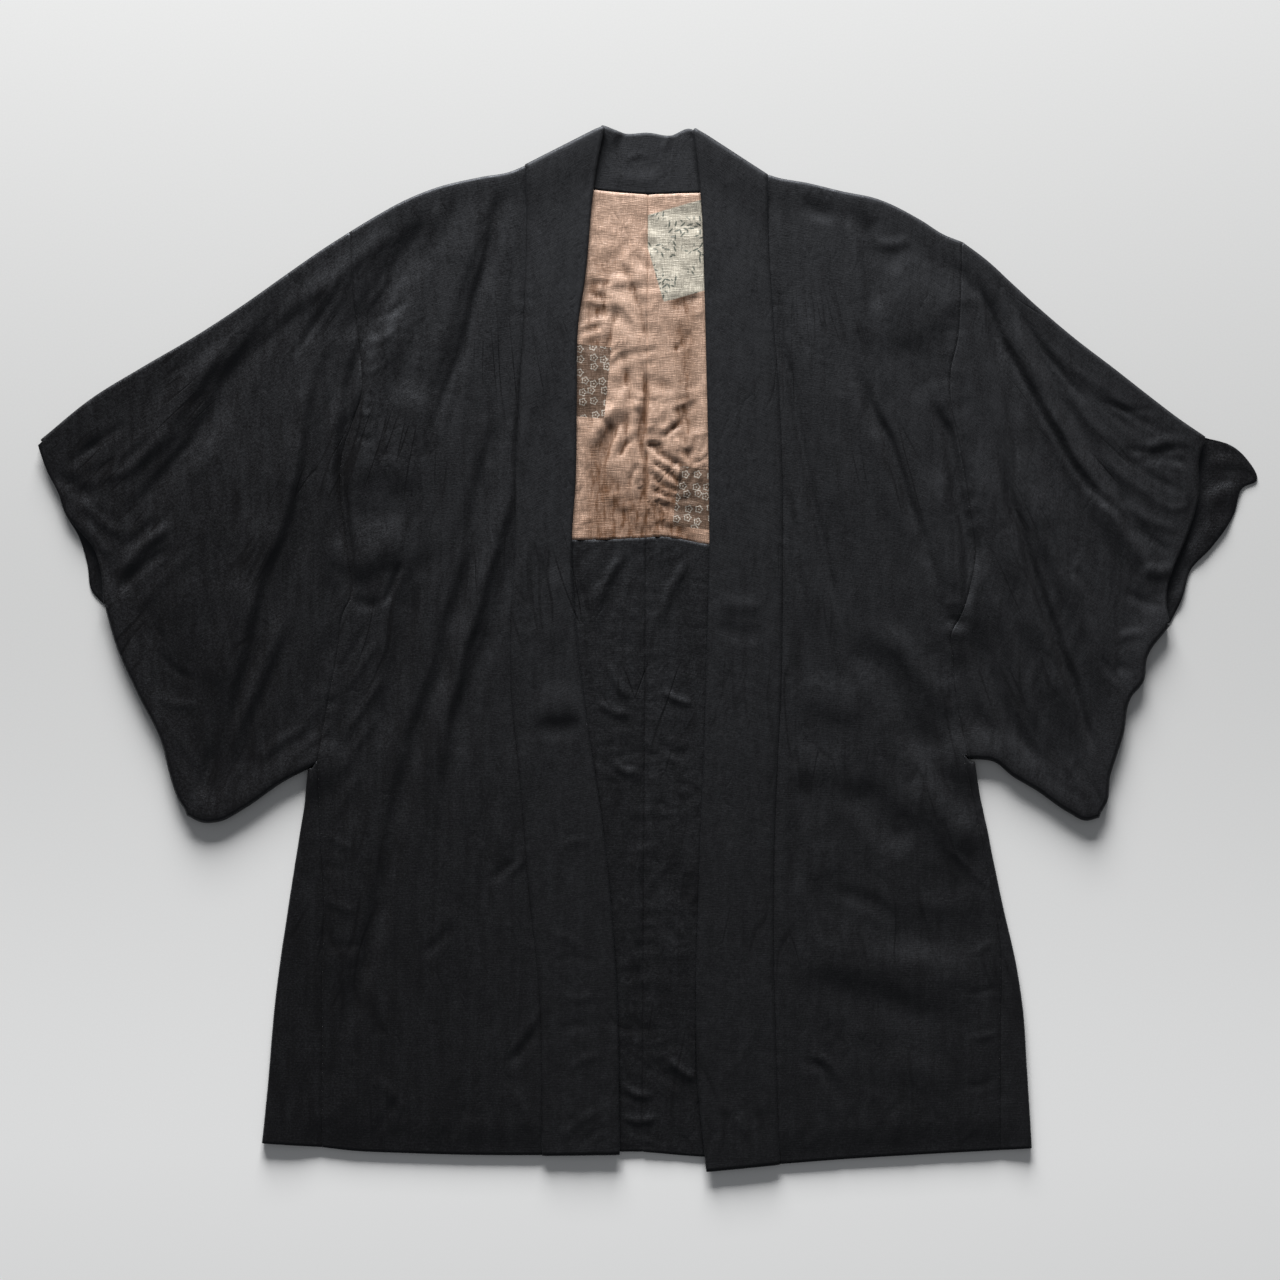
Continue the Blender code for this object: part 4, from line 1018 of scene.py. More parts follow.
def make_object(name: str, points: Array, faces: Array, spots: Array) -> bpy.types.Object:
    """Makes a smooth mesh object of four-sided faces.

    Args:
        name: the object's name.
        points: places in metres.
        faces: four point numbers a face.
        spots: each point's place on the cloth, in metres.

    Returns:
        The linked object.
    """
    mesh = bpy.data.meshes.new(name)
    mesh.vertices.add(len(points))
    mesh.vertices.foreach_set("co", points.astype(np.float32).ravel())
    mesh.loops.add(faces.size)
    mesh.loops.foreach_set("vertex_index", faces.astype(np.int32).ravel())
    mesh.polygons.add(len(faces))
    mesh.polygons.foreach_set("loop_start", np.arange(0, faces.size, 4, dtype=np.int32))
    mesh.polygons.foreach_set("loop_total", np.full(len(faces), 4, dtype=np.int32))
    mesh.update(calc_edges=True)
    mesh.polygons.foreach_set("use_smooth", np.ones(len(faces), bool))
    mesh.uv_layers.new(name=UV_NAME)
    mesh.uv_layers[UV_NAME].data.foreach_set("uv", spots[faces.ravel()].astype(np.float32).ravel())
    mesh.validate()
    return place_in_scene(name, mesh)


# ---------------------------------------------------------------- finishes


class Graph:
    """Adds nodes to one node tree and wires them."""

    def __init__(self, tree: bpy.types.NodeTree) -> None:
        """Keeps the tree."""
        self.tree = tree

    def node(self, kind: str, inputs: dict | None = None, **settings: object) -> bpy.types.Node:
        """Adds a node.

        Args:
            kind: Blender's name for the node.
            inputs: values or sockets for its inputs, by name or number.
            settings: its other settings.

        Returns:
            The node.
        """
        made = self.tree.nodes.new(kind)
        for key, value in settings.items():
            setattr(made, key, value)
        self.fill(made.inputs, inputs or {})
        return made

    def fill(self, sockets: bpy.types.bpy_prop_collection, values: dict) -> None:
        """Feeds several inputs, by name or number."""
        for key, value in values.items():
            self.feed(sockets[key], value)

    def feed(self, socket: Socket, value: object) -> None:
        """Sets an input, or links it where the value is a socket. Colours are opaque."""
        if isinstance(value, Socket):
            self.tree.links.new(value, socket)
        elif socket.type == "RGBA":
            socket.default_value = (*value, 1.0)
        else:
            socket.default_value = value

    def math(self, operation: str, *values: object, clamp: bool = False) -> Socket:
        """The result of a sum on numbers or sockets."""
        made = self.node("ShaderNodeMath", operation=operation, use_clamp=clamp)
        for socket, value in zip(made.inputs, values):
            self.feed(socket, value)
        return made.outputs[0]

    def plus(self, one: object, two: object, clamp: bool = False) -> Socket:
        """Two numbers added, and held from 0 to 1 where clamp is set."""
        return self.math("ADD", one, two, clamp=clamp)

    def minus(self, one: object, two: object, clamp: bool = False) -> Socket:
        """The first number less the second, and held from 0 to 1 where clamp is set."""
        return self.math("SUBTRACT", one, two, clamp=clamp)

    def times(self, one: object, two: object) -> Socket:
        """Two numbers multiplied."""
        return self.math("MULTIPLY", one, two)

    def unsigned(self, value: object) -> Socket:
        """A number without its sign."""
        return self.math("ABSOLUTE", value)

    def parts(self, vector: object) -> tuple[Socket, ...]:
        """A place's x, y and z."""
        return tuple(self.node("ShaderNodeSeparateXYZ", {"Vector": vector}).outputs)

    def blend(self, share: object, one: object, two: object, kind: str = "MIX") -> Socket:
        """A colour between two others, or another blend of the two."""
        values = {0: share, 6: one, 7: two}
        return self.node("ShaderNodeMix", values, data_type="RGBA", blend_type=kind).outputs[2]

    def span(
        self, value: object, low: float, high: float, to_low: float = 0.0, to_high: float = 1.0
    ) -> Socket:
        """A value carried softly from one span to another."""
        names = {"Value": value, "From Min": low, "From Max": high, "To Min": to_low, "To Max": to_high}
        return self.node("ShaderNodeMapRange", names, interpolation_type="SMOOTHSTEP").outputs[0]

    def noise(self, vector: object, scale: object, detail: float = 2.0, **inputs: float) -> Socket:
        """Noise with this many waves to a metre."""
        values = {"Vector": vector, "Scale": scale, "Detail": detail, **inputs}
        return self.node("ShaderNodeTexNoise", values, noise_type="FBM").outputs[0]

    def stretched(self, vector: object, scale: tuple[float, float, float], turn: float = 0.0) -> Socket:
        """A place, turned in the plane and scaled."""
        values = {"Vector": vector, "Rotation": (0.0, 0.0, turn), "Scale": scale}
        return self.node("ShaderNodeMapping", values).outputs[0]

    def bump(self, height: object, strength: float, depth: float, under: Socket | None = None) -> Socket:
        """A normal that follows a height, laid over another normal where one is given."""
        values = {"Height": height, "Strength": strength, "Distance": depth}
        if under is not None:
            values["Normal"] = under
        return self.node("ShaderNodeBump", values).outputs[0]

    def whole(self) -> Socket:
        """The place in the jacket."""
        return self.node("ShaderNodeTexCoord").outputs["Object"]

    def cloth(self) -> Socket:
        """The place on the flat cloth."""
        return self.node("ShaderNodeUVMap", uv_map=UV_NAME).outputs[0]


@dataclass(frozen=True)
class Effect:
    """A shader node group that several finishes use: numbers and places in, masks and heights out."""

    name: str
    inputs: dict[str, float]
    outputs: tuple[str, ...]
    draw: Callable[[Graph, dict[str, Socket]], dict[str, Socket]]

    def tree(self) -> bpy.types.NodeTree:
        """The group, built the first time that it is asked for."""
        found = bpy.data.node_groups.get(self.name)
        if found:
            return found
        made = bpy.data.node_groups.new(self.name, "ShaderNodeTree")
        made.interface.new_socket("Place", in_out="INPUT", socket_type="NodeSocketVector")
        for name, value in self.inputs.items():
            socket = made.interface.new_socket(name, in_out="INPUT", socket_type="NodeSocketFloat")
            socket.default_value = value
        for name in self.outputs:
            made.interface.new_socket(name, in_out="OUTPUT", socket_type="NodeSocketFloat")
        graph = Graph(made)
        entry, end = graph.node("NodeGroupInput"), graph.node("NodeGroupOutput")
        graph.fill(end.inputs, self.draw(graph, entry.outputs))
        return made

    def use(self, graph: Graph, place: object, **values: float) -> bpy.types.bpy_prop_collection:
        """Places the group in a material.

        Args:
            graph: the material's own nodes.
            place: the place that the group reads.
            values: its numbers, by name.

        Returns:
            The group node's outputs.
        """
        made = graph.node("ShaderNodeGroup")
        made.node_tree = self.tree()
        graph.feed(made.inputs["Place"], place)
        graph.fill(made.inputs, {name.capitalize(): value for name, value in values.items()})
        return made.outputs


def draw_weave(graph: Graph, given: dict) -> dict:
    """Plain weave: threads over and under each other, with thick places along both ways."""
    along, across = 90.0, 1100.0  # waves to a metre of the thick places, along a thread and across it
    x, y, _ = graph.parts(given["Place"])
    turn = graph.math("DIVIDE", math.pi, given["Spacing"])
    warp = graph.math("SINE", graph.times(x, turn))
    weft = graph.math("SINE", graph.times(y, turn))
    cross = graph.math("MULTIPLY_ADD", graph.times(warp, weft), 0.5, 0.5)
    rows = graph.noise(graph.stretched(given["Place"], (along, across, 1.0)), 1.0)
    columns = graph.noise(graph.stretched(given["Place"], (across, along, 1.0)), 1.0)
    slubs = graph.span(graph.times(graph.plus(rows, columns), 0.5), 0.42, 0.64)
    height = graph.plus(graph.times(cross, 0.5), graph.times(slubs, given["Slub"]))
    return {"Height": height, "Tone": slubs}


def draw_crepe(graph: Graph, given: dict) -> dict:
    """The small crumpled grain of soft silk, a little longer along the cloth than across it."""
    length, slant, finer = 0.4, 0.12, 5.0
    crease_waves, patch_waves, speck_waves = 55.0, 16.0, 520.0  # to a metre
    scale = graph.math("DIVIDE", 1.0, given["Size"])
    long = graph.stretched(given["Place"], (1.0, length, 1.0), slant)
    coarse = graph.noise(long, scale, 3.0, Roughness=0.6, Distortion=0.5)
    fine = graph.noise(long, graph.times(scale, finer), Roughness=0.6)
    sharp = graph.unsigned(graph.minus(graph.noise(long, crease_waves, Distortion=0.6), 0.5))
    creases = graph.minus(1.0, graph.times(sharp, 9.0), clamp=True)
    patches = graph.span(graph.noise(given["Place"], patch_waves), 0.46, 0.66)
    grain = graph.plus(coarse, graph.times(fine, given["Fine"]))
    height = graph.minus(grain, graph.times(graph.times(creases, patches), 0.6))
    streaks = graph.noise(graph.stretched(given["Place"], (130.0, 22.0, 130.0), 0.05), 1.0)
    specks = graph.noise(given["Place"], speck_waves, Roughness=0.75)
    tone = graph.plus(graph.times(streaks, 0.6), graph.times(specks, 1.4))
    return {"Height": height, "Tone": tone}


def draw_shaded_long_creases(graph: Graph, given: dict) -> dict:
    """Fine sharp creases that fan out down the cloth from each shoulder: a mask for bumps and for painted
    shade.
    """
    middle, neck, top = -0.013, 0.155, 0.549  # where the fans start: across, on both sides, and up the jacket
    begins, full = 0.16, 0.26  # distances from there
    x, y, _ = graph.parts(given["Place"])
    across = graph.minus(graph.unsigned(graph.plus(x, -middle)), neck)
    down = graph.minus(top, y)
    turn = graph.math("ARCTAN2", across, down)
    far = graph.math("SQRT", graph.plus(graph.times(across, across), graph.times(down, down)))
    side = graph.times(graph.math("SIGN", x), 3.0)
    spread = graph.times(turn, 24.0)
    place = graph.node("ShaderNodeCombineXYZ", {0: spread, 1: graph.times(far, 6.0), 2: side}).outputs[0]
    line = graph.times(graph.unsigned(graph.minus(graph.noise(place, 1.0, 1.0, Distortion=0.3), 0.5)), 30.0)
    patches = graph.span(graph.noise(given["Place"], 9.0), 0.5, 0.66)
    patches = graph.times(patches, graph.span(far, begins, full))
    return {"Mask": graph.times(graph.minus(1.0, line, clamp=True), patches)}


def draw_lint(graph: Graph, given: dict) -> dict:
    """Sparse pale specks, each at the middle of its own cell."""
    cells_to_a_metre, half_speck = 28.0, 0.018
    cells = graph.node("ShaderNodeTexVoronoi", {"Vector": given["Place"], "Scale": cells_to_a_metre}).outputs
    chance = graph.node("ShaderNodeSeparateColor", {0: cells["Color"]}).outputs[0]
    few = graph.math("GREATER_THAN", chance, graph.minus(1.0, given["Amount"]))
    return {"Mask": graph.times(few, graph.math("LESS_THAN", cells["Distance"], half_speck))}


def own_cell(graph: Graph, given: dict, randomness: float) -> tuple[Socket, Socket]:
    """The place measured from the middle of its own cell, and that cell's colour."""
    scale = graph.math("DIVIDE", 1.0, given["Size"])
    values = {"Vector": given["Place"], "Scale": scale, "Randomness": randomness}
    cells = graph.node("ShaderNodeTexVoronoi", values).outputs
    ends = {0: given["Place"], 1: cells["Position"]}
    return graph.node("ShaderNodeVectorMath", ends, operation="SUBTRACT").outputs[0], cells["Color"]


def draw_sprigs(graph: Graph, given: dict) -> dict:
    """Small leaves, each turned its own way in its own cell."""
    offset, colour = own_cell(graph, given, 0.8)
    turn = graph.times(graph.node("ShaderNodeSeparateColor", {0: colour}).outputs[0], 3.1)
    values = {"Vector": offset, "Angle": turn}
    x, y, _ = graph.parts(graph.node("ShaderNodeVectorRotate", values, rotation_type="Z_AXIS").outputs[0])
    long = graph.math("POWER", graph.unsigned(graph.math("DIVIDE", x, given["Length"])), 2.0)
    wide = graph.math("POWER", graph.unsigned(graph.math("DIVIDE", y, given["Width"])), 2.0)
    return {"Mask": graph.span(graph.plus(long, wide), 0.8, 1.15, 1.0, 0.0)}


def draw_blossoms(graph: Graph, given: dict) -> dict:
    """Round outlines with petals and a dot in the middle, spread unevenly."""
    petals, depth = 5.0, 0.16
    x, y, _ = graph.parts(own_cell(graph, given, 0.55)[0])
    radius = graph.math("SQRT", graph.plus(graph.times(x, x), graph.times(y, y)))
    around = graph.times(graph.math("ARCTAN2", y, x), petals)
    petal = graph.math("MULTIPLY_ADD", graph.math("COSINE", around), depth, 1.0)
    share = graph.math("DIVIDE", radius, graph.times(petal, given["Petal"]))
    ring = graph.span(graph.unsigned(graph.minus(share, 1.0)), 0.1, 0.24, 1.0, 0.0)
    dot = graph.span(share, 0.2, 0.34, 1.0, 0.0)
    return {"Mask": graph.math("MAXIMUM", ring, dot)}


WEAVE = Effect("plain_weave", {"Spacing": 0.0006, "Slub": 0.6}, ("Height", "Tone"), draw_weave)
CREPE = Effect("crumpled_grain", {"Size": 0.012, "Fine": 0.35}, ("Height", "Tone"), draw_crepe)
SHADED_LONG_CREASES = Effect("long_creases", {}, ("Mask",), draw_shaded_long_creases)
LINT = Effect("lint", {"Amount": 0.05}, ("Mask",), draw_lint)
SPRIGS = Effect("leaf_sprigs", {"Size": 0.007, "Length": 0.0032, "Width": 0.0008}, ("Mask",), draw_sprigs)
BLOSSOMS = Effect("blossoms", {"Size": 0.024, "Petal": 0.0062}, ("Mask",), draw_blossoms)


@dataclass(frozen=True)
class Finish:
    """What a piece is made of, as seen."""

    def surface(self, graph: Graph) -> dict[str, object]:
        """The surface's inputs by name, with the nodes behind them added to the graph."""
        raise NotImplementedError

    def material(self, name: str) -> bpy.types.Material:
        """A material of this finish.

        Args:
            name: the material's name.

        Returns:
            The material.
        """
        made = bpy.data.materials.new(name)
        made.use_nodes = True
        graph = Graph(made.node_tree)
        graph.fill(made.node_tree.nodes["Principled BSDF"].inputs, self.surface(graph))
        return made


@dataclass(frozen=True)
class BlackSilk(Finish):
    """Dull black silk with uneven threads and a crumpled grain, its gloss and sheen tinted slate as a painted
    reflection of the bluish sky light.

    It is painted lighter towards the collar, as painted light for the sheen that the window gives the chest,
    and less rough by extra_gloss towards the left sleeve and on the right cuff. The spans are where those
    changes begin and end. They and the grain are in metres.
    """

    dark: Colour = (0.0030, 0.0023, 0.0021)
    light: Colour = (0.0076, 0.0072, 0.0076)
    lint_colour: Colour = (0.32, 0.31, 0.29)
    # painted reflection: the gloss and sheen tints are slate blue, standing in for the bluish light that the
    # silk reflects
    painted_sky_gloss_tint: Colour = (0.84, 0.90, 1.0)
    sheen_tint: Colour = (0.62, 0.68, 0.78)
    roughness: float = 0.575
    extra_gloss: float = 0.17
    gloss: float = 0.38
    sheen: float = 0.02
    sheen_roughness: float = 0.42
    grain: float = 0.00034
    grain_size: float = 0.009
    thread_height: float = 0.00016
    weave_strength: float = 0.6
    lint: float = 0.05
    painted_top_light_span: tuple[float, float] = (-0.35, 0.5)
    sleeve_span: tuple[float, float] = (-0.55, 0.05)
    cuff_span: tuple[float, float] = (0.538, 0.556)

    def surface(self, graph: Graph) -> dict[str, object]:
        """The silk's surface."""
        cloth, whole = graph.cloth(), graph.whole()
        weave = WEAVE.use(graph, cloth, spacing=0.0006, slub=0.7)
        crepe = CREPE.use(graph, whole, size=self.grain_size, fine=0.45)
        creases = SHADED_LONG_CREASES.use(graph, whole)["Mask"]
        lint = LINT.use(graph, whole, amount=self.lint)["Mask"]

        x, y, _ = graph.parts(whole)
        # painted light: the colour is lighter towards the collar, standing in for the window's sheen there
        painted_top_light = graph.span(y, *self.painted_top_light_span, 0.0, 0.5)
        clouds = graph.span(graph.noise(whole, 7.0, 3.0), 0.3, 0.7, 0.0, 0.22)
        # painted shade: the long creases darken the colour, standing in for the shade that falls in them
        uneven = graph.times(graph.minus(crepe["Tone"], graph.plus(1.0, creases)), 2.0)
        share = graph.plus(graph.plus(painted_top_light, clouds), uneven, clamp=True)
        colour = graph.blend(share, self.dark, self.light)
        dull = graph.span(x, *self.sleeve_span, self.roughness - self.extra_gloss, self.roughness)
        dull = graph.minus(dull, graph.span(x, *self.cuff_span, 0.0, self.extra_gloss))
        rubbed = graph.times(graph.minus(crepe["Tone"], 1.0), 0.4)
        rubbed = graph.minus(rubbed, graph.times(creases, 0.1))
        grain = graph.bump(graph.minus(crepe["Height"], creases), 1.0, self.grain)
        return {
            "Base Color": graph.blend(lint, colour, self.lint_colour),
            "Roughness": graph.plus(dull, rubbed),
            "Normal": graph.bump(weave["Height"], self.weave_strength, self.thread_height, grain),
            "Specular IOR Level": self.gloss,
            "Specular Tint": self.painted_sky_gloss_tint,
            "Sheen Weight": self.sheen,
            "Sheen Roughness": self.sheen_roughness,
            "Sheen Tint": self.sheen_tint,
        }


class Print(Enum):
    """Which printed patches a half of the lining carries."""

    LEFT = "left"
    RIGHT = "right"


@dataclass(frozen=True)
class Spot:
    """A printed patch on the lining, about a rectangle with rounded corners.

    x and y are its middle, and it and the half sizes are in metres. turn is in radians.
    """

    x: float
    y: float
    half_width: float
    half_height: float
    turn: float = 0.0

    def mask(self, graph: Graph, place: Socket) -> Socket:
        """1 inside the patch and 0 outside it, with a slightly uneven edge."""
        corner, ragged, edge_half, waves = 0.004, 0.0016, 0.0004, 900.0
        ends = {0: place, 1: (-self.x, -self.y, 0.0)}
        moved = graph.node("ShaderNodeVectorMath", ends, operation="ADD").outputs[0]
        x, y, _ = graph.parts(graph.stretched(moved, (1.0, 1.0, 1.0), self.turn))
        wide = graph.minus(graph.unsigned(x), self.half_width)
        high = graph.minus(graph.unsigned(y), self.half_height)
        edge = graph.math("SMOOTH_MAX", wide, high, corner)
        uneven = graph.times(graph.minus(graph.noise(place, waves, 1.0), 0.5), ragged)
        return graph.span(graph.plus(edge, uneven), -edge_half, edge_half, 1.0, 0.0)


@dataclass(frozen=True)
class LiningSilk(Finish):
    """Pinkish beige printed silk with a soft lustre and clear thick threads.

    It is deeper in colour towards the hem, and has painted brown shade in the low hollows of the creases near
    the middle. The spans are where each of these begins and ends. They, the grain and the threads are in
    metres.
    """

    which: Print
    pale: Colour = (0.60, 0.405, 0.30)
    deep: Colour = (0.37, 0.22, 0.145)
    cream: Colour = (0.60, 0.55, 0.45)
    leaf: Colour = (0.16, 0.17, 0.14)
    brown: Colour = (0.155, 0.095, 0.062)
    chalk: Colour = (0.46, 0.41, 0.35)
    # painted shade colour, for the low hollows of the creases near the middle
    crease: Colour = (0.165, 0.076, 0.034)
    sheen_tint: Colour = (1.0, 0.82, 0.68)
    gloss: float = 0.5
    sheen: float = 0.08
    sheen_roughness: float = 0.4
    roughness: tuple[float, float] = (0.40, 0.52)
    thread_tones: tuple[float, float] = (0.72, 1.12)
    grain: float = 0.0007
    thread_height: float = 0.00022
    weave_strength: float = 0.8
    middle: float = -0.008
    deeper_span: tuple[float, float] = (0.42, 0.12)
    shade_width_span: tuple[float, float] = (0.062, 0.042)
    shade_top_span: tuple[float, float] = (0.41, 0.36)
    hollow_span: tuple[float, float] = (0.0050, 0.0032)

    def patches(self) -> tuple[tuple[Spot, ...], tuple[Spot, ...]]:
        """The cream patches and the brown ones of this half."""
        if self.which is Print.LEFT:
            return (), (Spot(-0.064, 0.268, 0.024, 0.036, 0.1),)
        return (Spot(0.036, 0.398, 0.034, 0.044, -0.28),), (Spot(0.054, 0.150, 0.026, 0.030, 0.12),)

    def ground(self, graph: Graph, whole: Socket) -> Socket:
        """The colour of the unprinted silk, with painted shade in the low hollows of its creases near the
        middle.
        """
        x, y, z = graph.parts(whole)
        clouds = graph.span(graph.noise(whole, 9.0, 4.0), 0.3, 0.72, 0.0, 0.4)
        clouds = graph.plus(clouds, graph.span(y, *self.deeper_span, 0.0, 0.25), clamp=True)
        plain = graph.blend(clouds, self.pale, self.deep)
        # painted shade: the cloth is browner where it lies low in the creases near the middle, broken into
        # streaks
        inner = graph.span(graph.unsigned(graph.plus(x, -self.middle)), *self.shade_width_span)
        inner = graph.times(inner, graph.span(y, *self.shade_top_span))
        hollow = graph.times(inner, graph.span(z, *self.hollow_span))
        shade_streaks = graph.noise(graph.stretched(whole, (210.0, 60.0, 1.0), -0.1), 1.0, 3.0)
        return graph.blend(graph.times(hollow, graph.span(shade_streaks, 0.4, 0.66, 0.5, 1.0)), plain, self.crease)

    def printed(self, graph: Graph, whole: Socket, colour: Socket) -> Socket:
        """The colour with the patches printed over it."""
        sprigs = SPRIGS.use(graph, whole, size=0.0062, length=0.0033, width=0.0009)["Mask"]
        rows = graph.span(graph.noise(whole, 46.0, 1.0), 0.46, 0.56)
        fan = graph.blend(graph.times(sprigs, rows), self.cream, self.leaf)
        blossoms = BLOSSOMS.use(graph, whole, size=0.0115, petal=0.0031)["Mask"]
        dark = graph.blend(blossoms, self.brown, self.chalk)
        for spots, cloth_colour in zip(self.patches(), (fan, dark)):
            for spot in spots:
                colour = graph.blend(spot.mask(graph, whole), colour, cloth_colour)
        return colour

    def surface(self, graph: Graph) -> dict[str, object]:
        """The silk's surface."""
        cloth, whole = graph.cloth(), graph.whole()
        weave = WEAVE.use(graph, cloth, spacing=0.00075, slub=0.9)
        crepe = CREPE.use(graph, whole, size=0.014, fine=0.3)
        colour = self.printed(graph, whole, self.ground(graph, whole))
        threads = graph.span(weave["Tone"], 0.0, 1.0, *self.thread_tones)
        grey = graph.node("ShaderNodeCombineColor", {0: threads, 1: threads, 2: threads}).outputs[0]
        grain = graph.bump(crepe["Height"], 1.0, self.grain)
        return {
            "Base Color": graph.blend(1.0, colour, grey, "MULTIPLY"),
            "Roughness": graph.span(weave["Tone"], 0.0, 1.0, *self.roughness),
            "Normal": graph.bump(weave["Height"], self.weave_strength, self.thread_height, grain),
            "Specular IOR Level": self.gloss,
            "Sheen Weight": self.sheen,
            "Sheen Roughness": self.sheen_roughness,
            "Sheen Tint": self.sheen_tint,
        }


@dataclass(frozen=True)
class Thread(Finish):
    """Twisted sewing thread."""

    colour: Colour = (0.02, 0.02, 0.022)
    shade: float = 0.6
    roughness: float = 0.5
    twist_depth: float = 0.0001

    def surface(self, graph: Graph) -> dict[str, object]:
        """The thread's surface, with a fine slanting twist."""
        twist = graph.noise(graph.stretched(graph.whole(), (2600.0, 700.0, 2600.0), 0.6), 1.0, 1.0)
        dark = tuple(self.shade * part for part in self.colour)
        return {
            "Base Color": graph.blend(graph.span(twist, 0.35, 0.65), dark, self.colour),
            "Normal": graph.bump(twist, 0.5, self.twist_depth),
            "Roughness": self.roughness,
        }


@dataclass(frozen=True)
class PaleFloor(Finish):
    """A pale floor painted from darker far off to brighter near over the span, which is in metres: painted
    light that evens out the window's fall-off and adds light on the near side.
    """

    far: Colour = (0.64, 0.64, 0.635)
    near: Colour = (0.98, 0.98, 0.975)
    span: tuple[float, float] = (0.15, -0.62)
    grain: float = 0.12
    roughness: float = 0.8

    def surface(self, graph: Graph) -> dict[str, object]:
        """The floor's surface."""
        whole = graph.whole()
        grain = graph.times(graph.noise(whole, 600.0), self.grain)
        # painted light: the floor's colour brightens towards the near side
        share = graph.plus(grain, graph.span(graph.parts(whole)[1], *self.span))
        return {"Base Color": graph.blend(share, self.far, self.near), "Roughness": self.roughness}


# ---------------------------------------------------------------- pieces


@dataclass(frozen=True)
class Cut:
    """What a cloth was cut to, in metres: width and length, and its area where it isn't a rectangle."""

    width: float
    length: float
    area: float | None = None


def dress(
    thing: bpy.types.Object, finish: Finish
) -> bpy.types.Object:
    """Gives a cloth piece its material and its place in the jacket.

    Args:
        thing: the piece, named as the solid that it stands for.
        finish: its cloth.

    Returns:
        The same piece.
    """
    node = thing.name.removesuffix("_cloth")
    thing.data.materials.append(finish.material(thing.name))
    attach(thing, "root")
    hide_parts(node)
    report(thing)
    return thing


def report(thing: bpy.types.Object) -> None:
    """Logs a piece's size and count of triangles."""
    thing.data.calc_loop_triangles()
    size = " x ".join(f"{1000 * length:.0f}" for length in thing.dimensions)
    log.info("%s: %d triangles, %s mm", thing.name, len(thing.data.loop_triangles), size)


@dataclass
class BodyPanel:
    """Back, shoulder fold and front of one side, in one length of cloth.

    neck_run is the length of cloth along the neckline, where the back has no front to join.
    """

    side: Side
    columns: int = 70
    back_rows: int = 90
    neck_columns: int = 36
    neck_run: float = 108.0
    finish: BlackSilk = BlackSilk()
    cut: Cut = Cut(0.375, 1.94, 0.545)

    def front(self) -> tuple[Array, Array]:
        """The front's grid of points and the way its shoulder edge turns."""
        side = self.side
        outer = side.moved(side.front_edge(), -1)
        inner = side.moved(curve(side.collar_seam, shares_of(outer)), 1)
        shoulder = evenly(side.shoulder, self.columns)
        out = outward(shoulder, np.array(side.armhole[3], float))
        out[0], out[-1] = side.neck_turn, side.armhole_turn
        shoulder -= out * STACK.roll
        shoulder[0], shoulder[-1] = inner[0], outer[0]
        hem = evenly(side.hem, self.columns)
        hem[0], hem[-1] = inner[-1], outer[-1]
        return patch(shoulder, hem, inner, outer), out

    def back(self, shoulder: Array) -> tuple[Array, int]:
        """The back's grid of points, and how many of its columns lie along the neckline."""
        side = self.side
        neck = side.moved(evenly(NECKLINE[CENTRE::side.sign], self.neck_columns), 1, -1)[:-1]
        top = np.concatenate([neck, shoulder])
        rows = self.back_rows
        centre = side.moved(np.linspace(*np.array(CENTRE_SEAM, float), rows + 1), 1)
        armhole = np.linspace(side.armhole[0], side.armhole[-1], rows // 2 + 1)
        below = np.linspace(*np.array(side.back_side, float), rows - rows // 2)
        edge = side.moved(np.concatenate([armhole, below]), -1)
        hem = evenly(side.back_hem, len(top) - 1)
        centre[0], edge[0] = top[0], top[-1]
        hem[0], hem[-1] = centre[-1], edge[-1]
        return patch(top, hem, centre, edge), len(neck)

    def build(self) -> bpy.types.Object:
        """Makes and dresses the panel."""
        wall = Wall()
        front, out = self.front()
        over = wall.layer(front, self.side.upper(front), 1)
        back, neck = self.back(front[0])
        under = wall.layer(back, STACK.flat, -1, (-self.neck_run, 0))
        wall.turn(over[0], under[0, neck:], out)
        thing = wall.build(f"body_{self.side.name}_cloth", STACK.cloth)
        return dress(thing, self.finish)


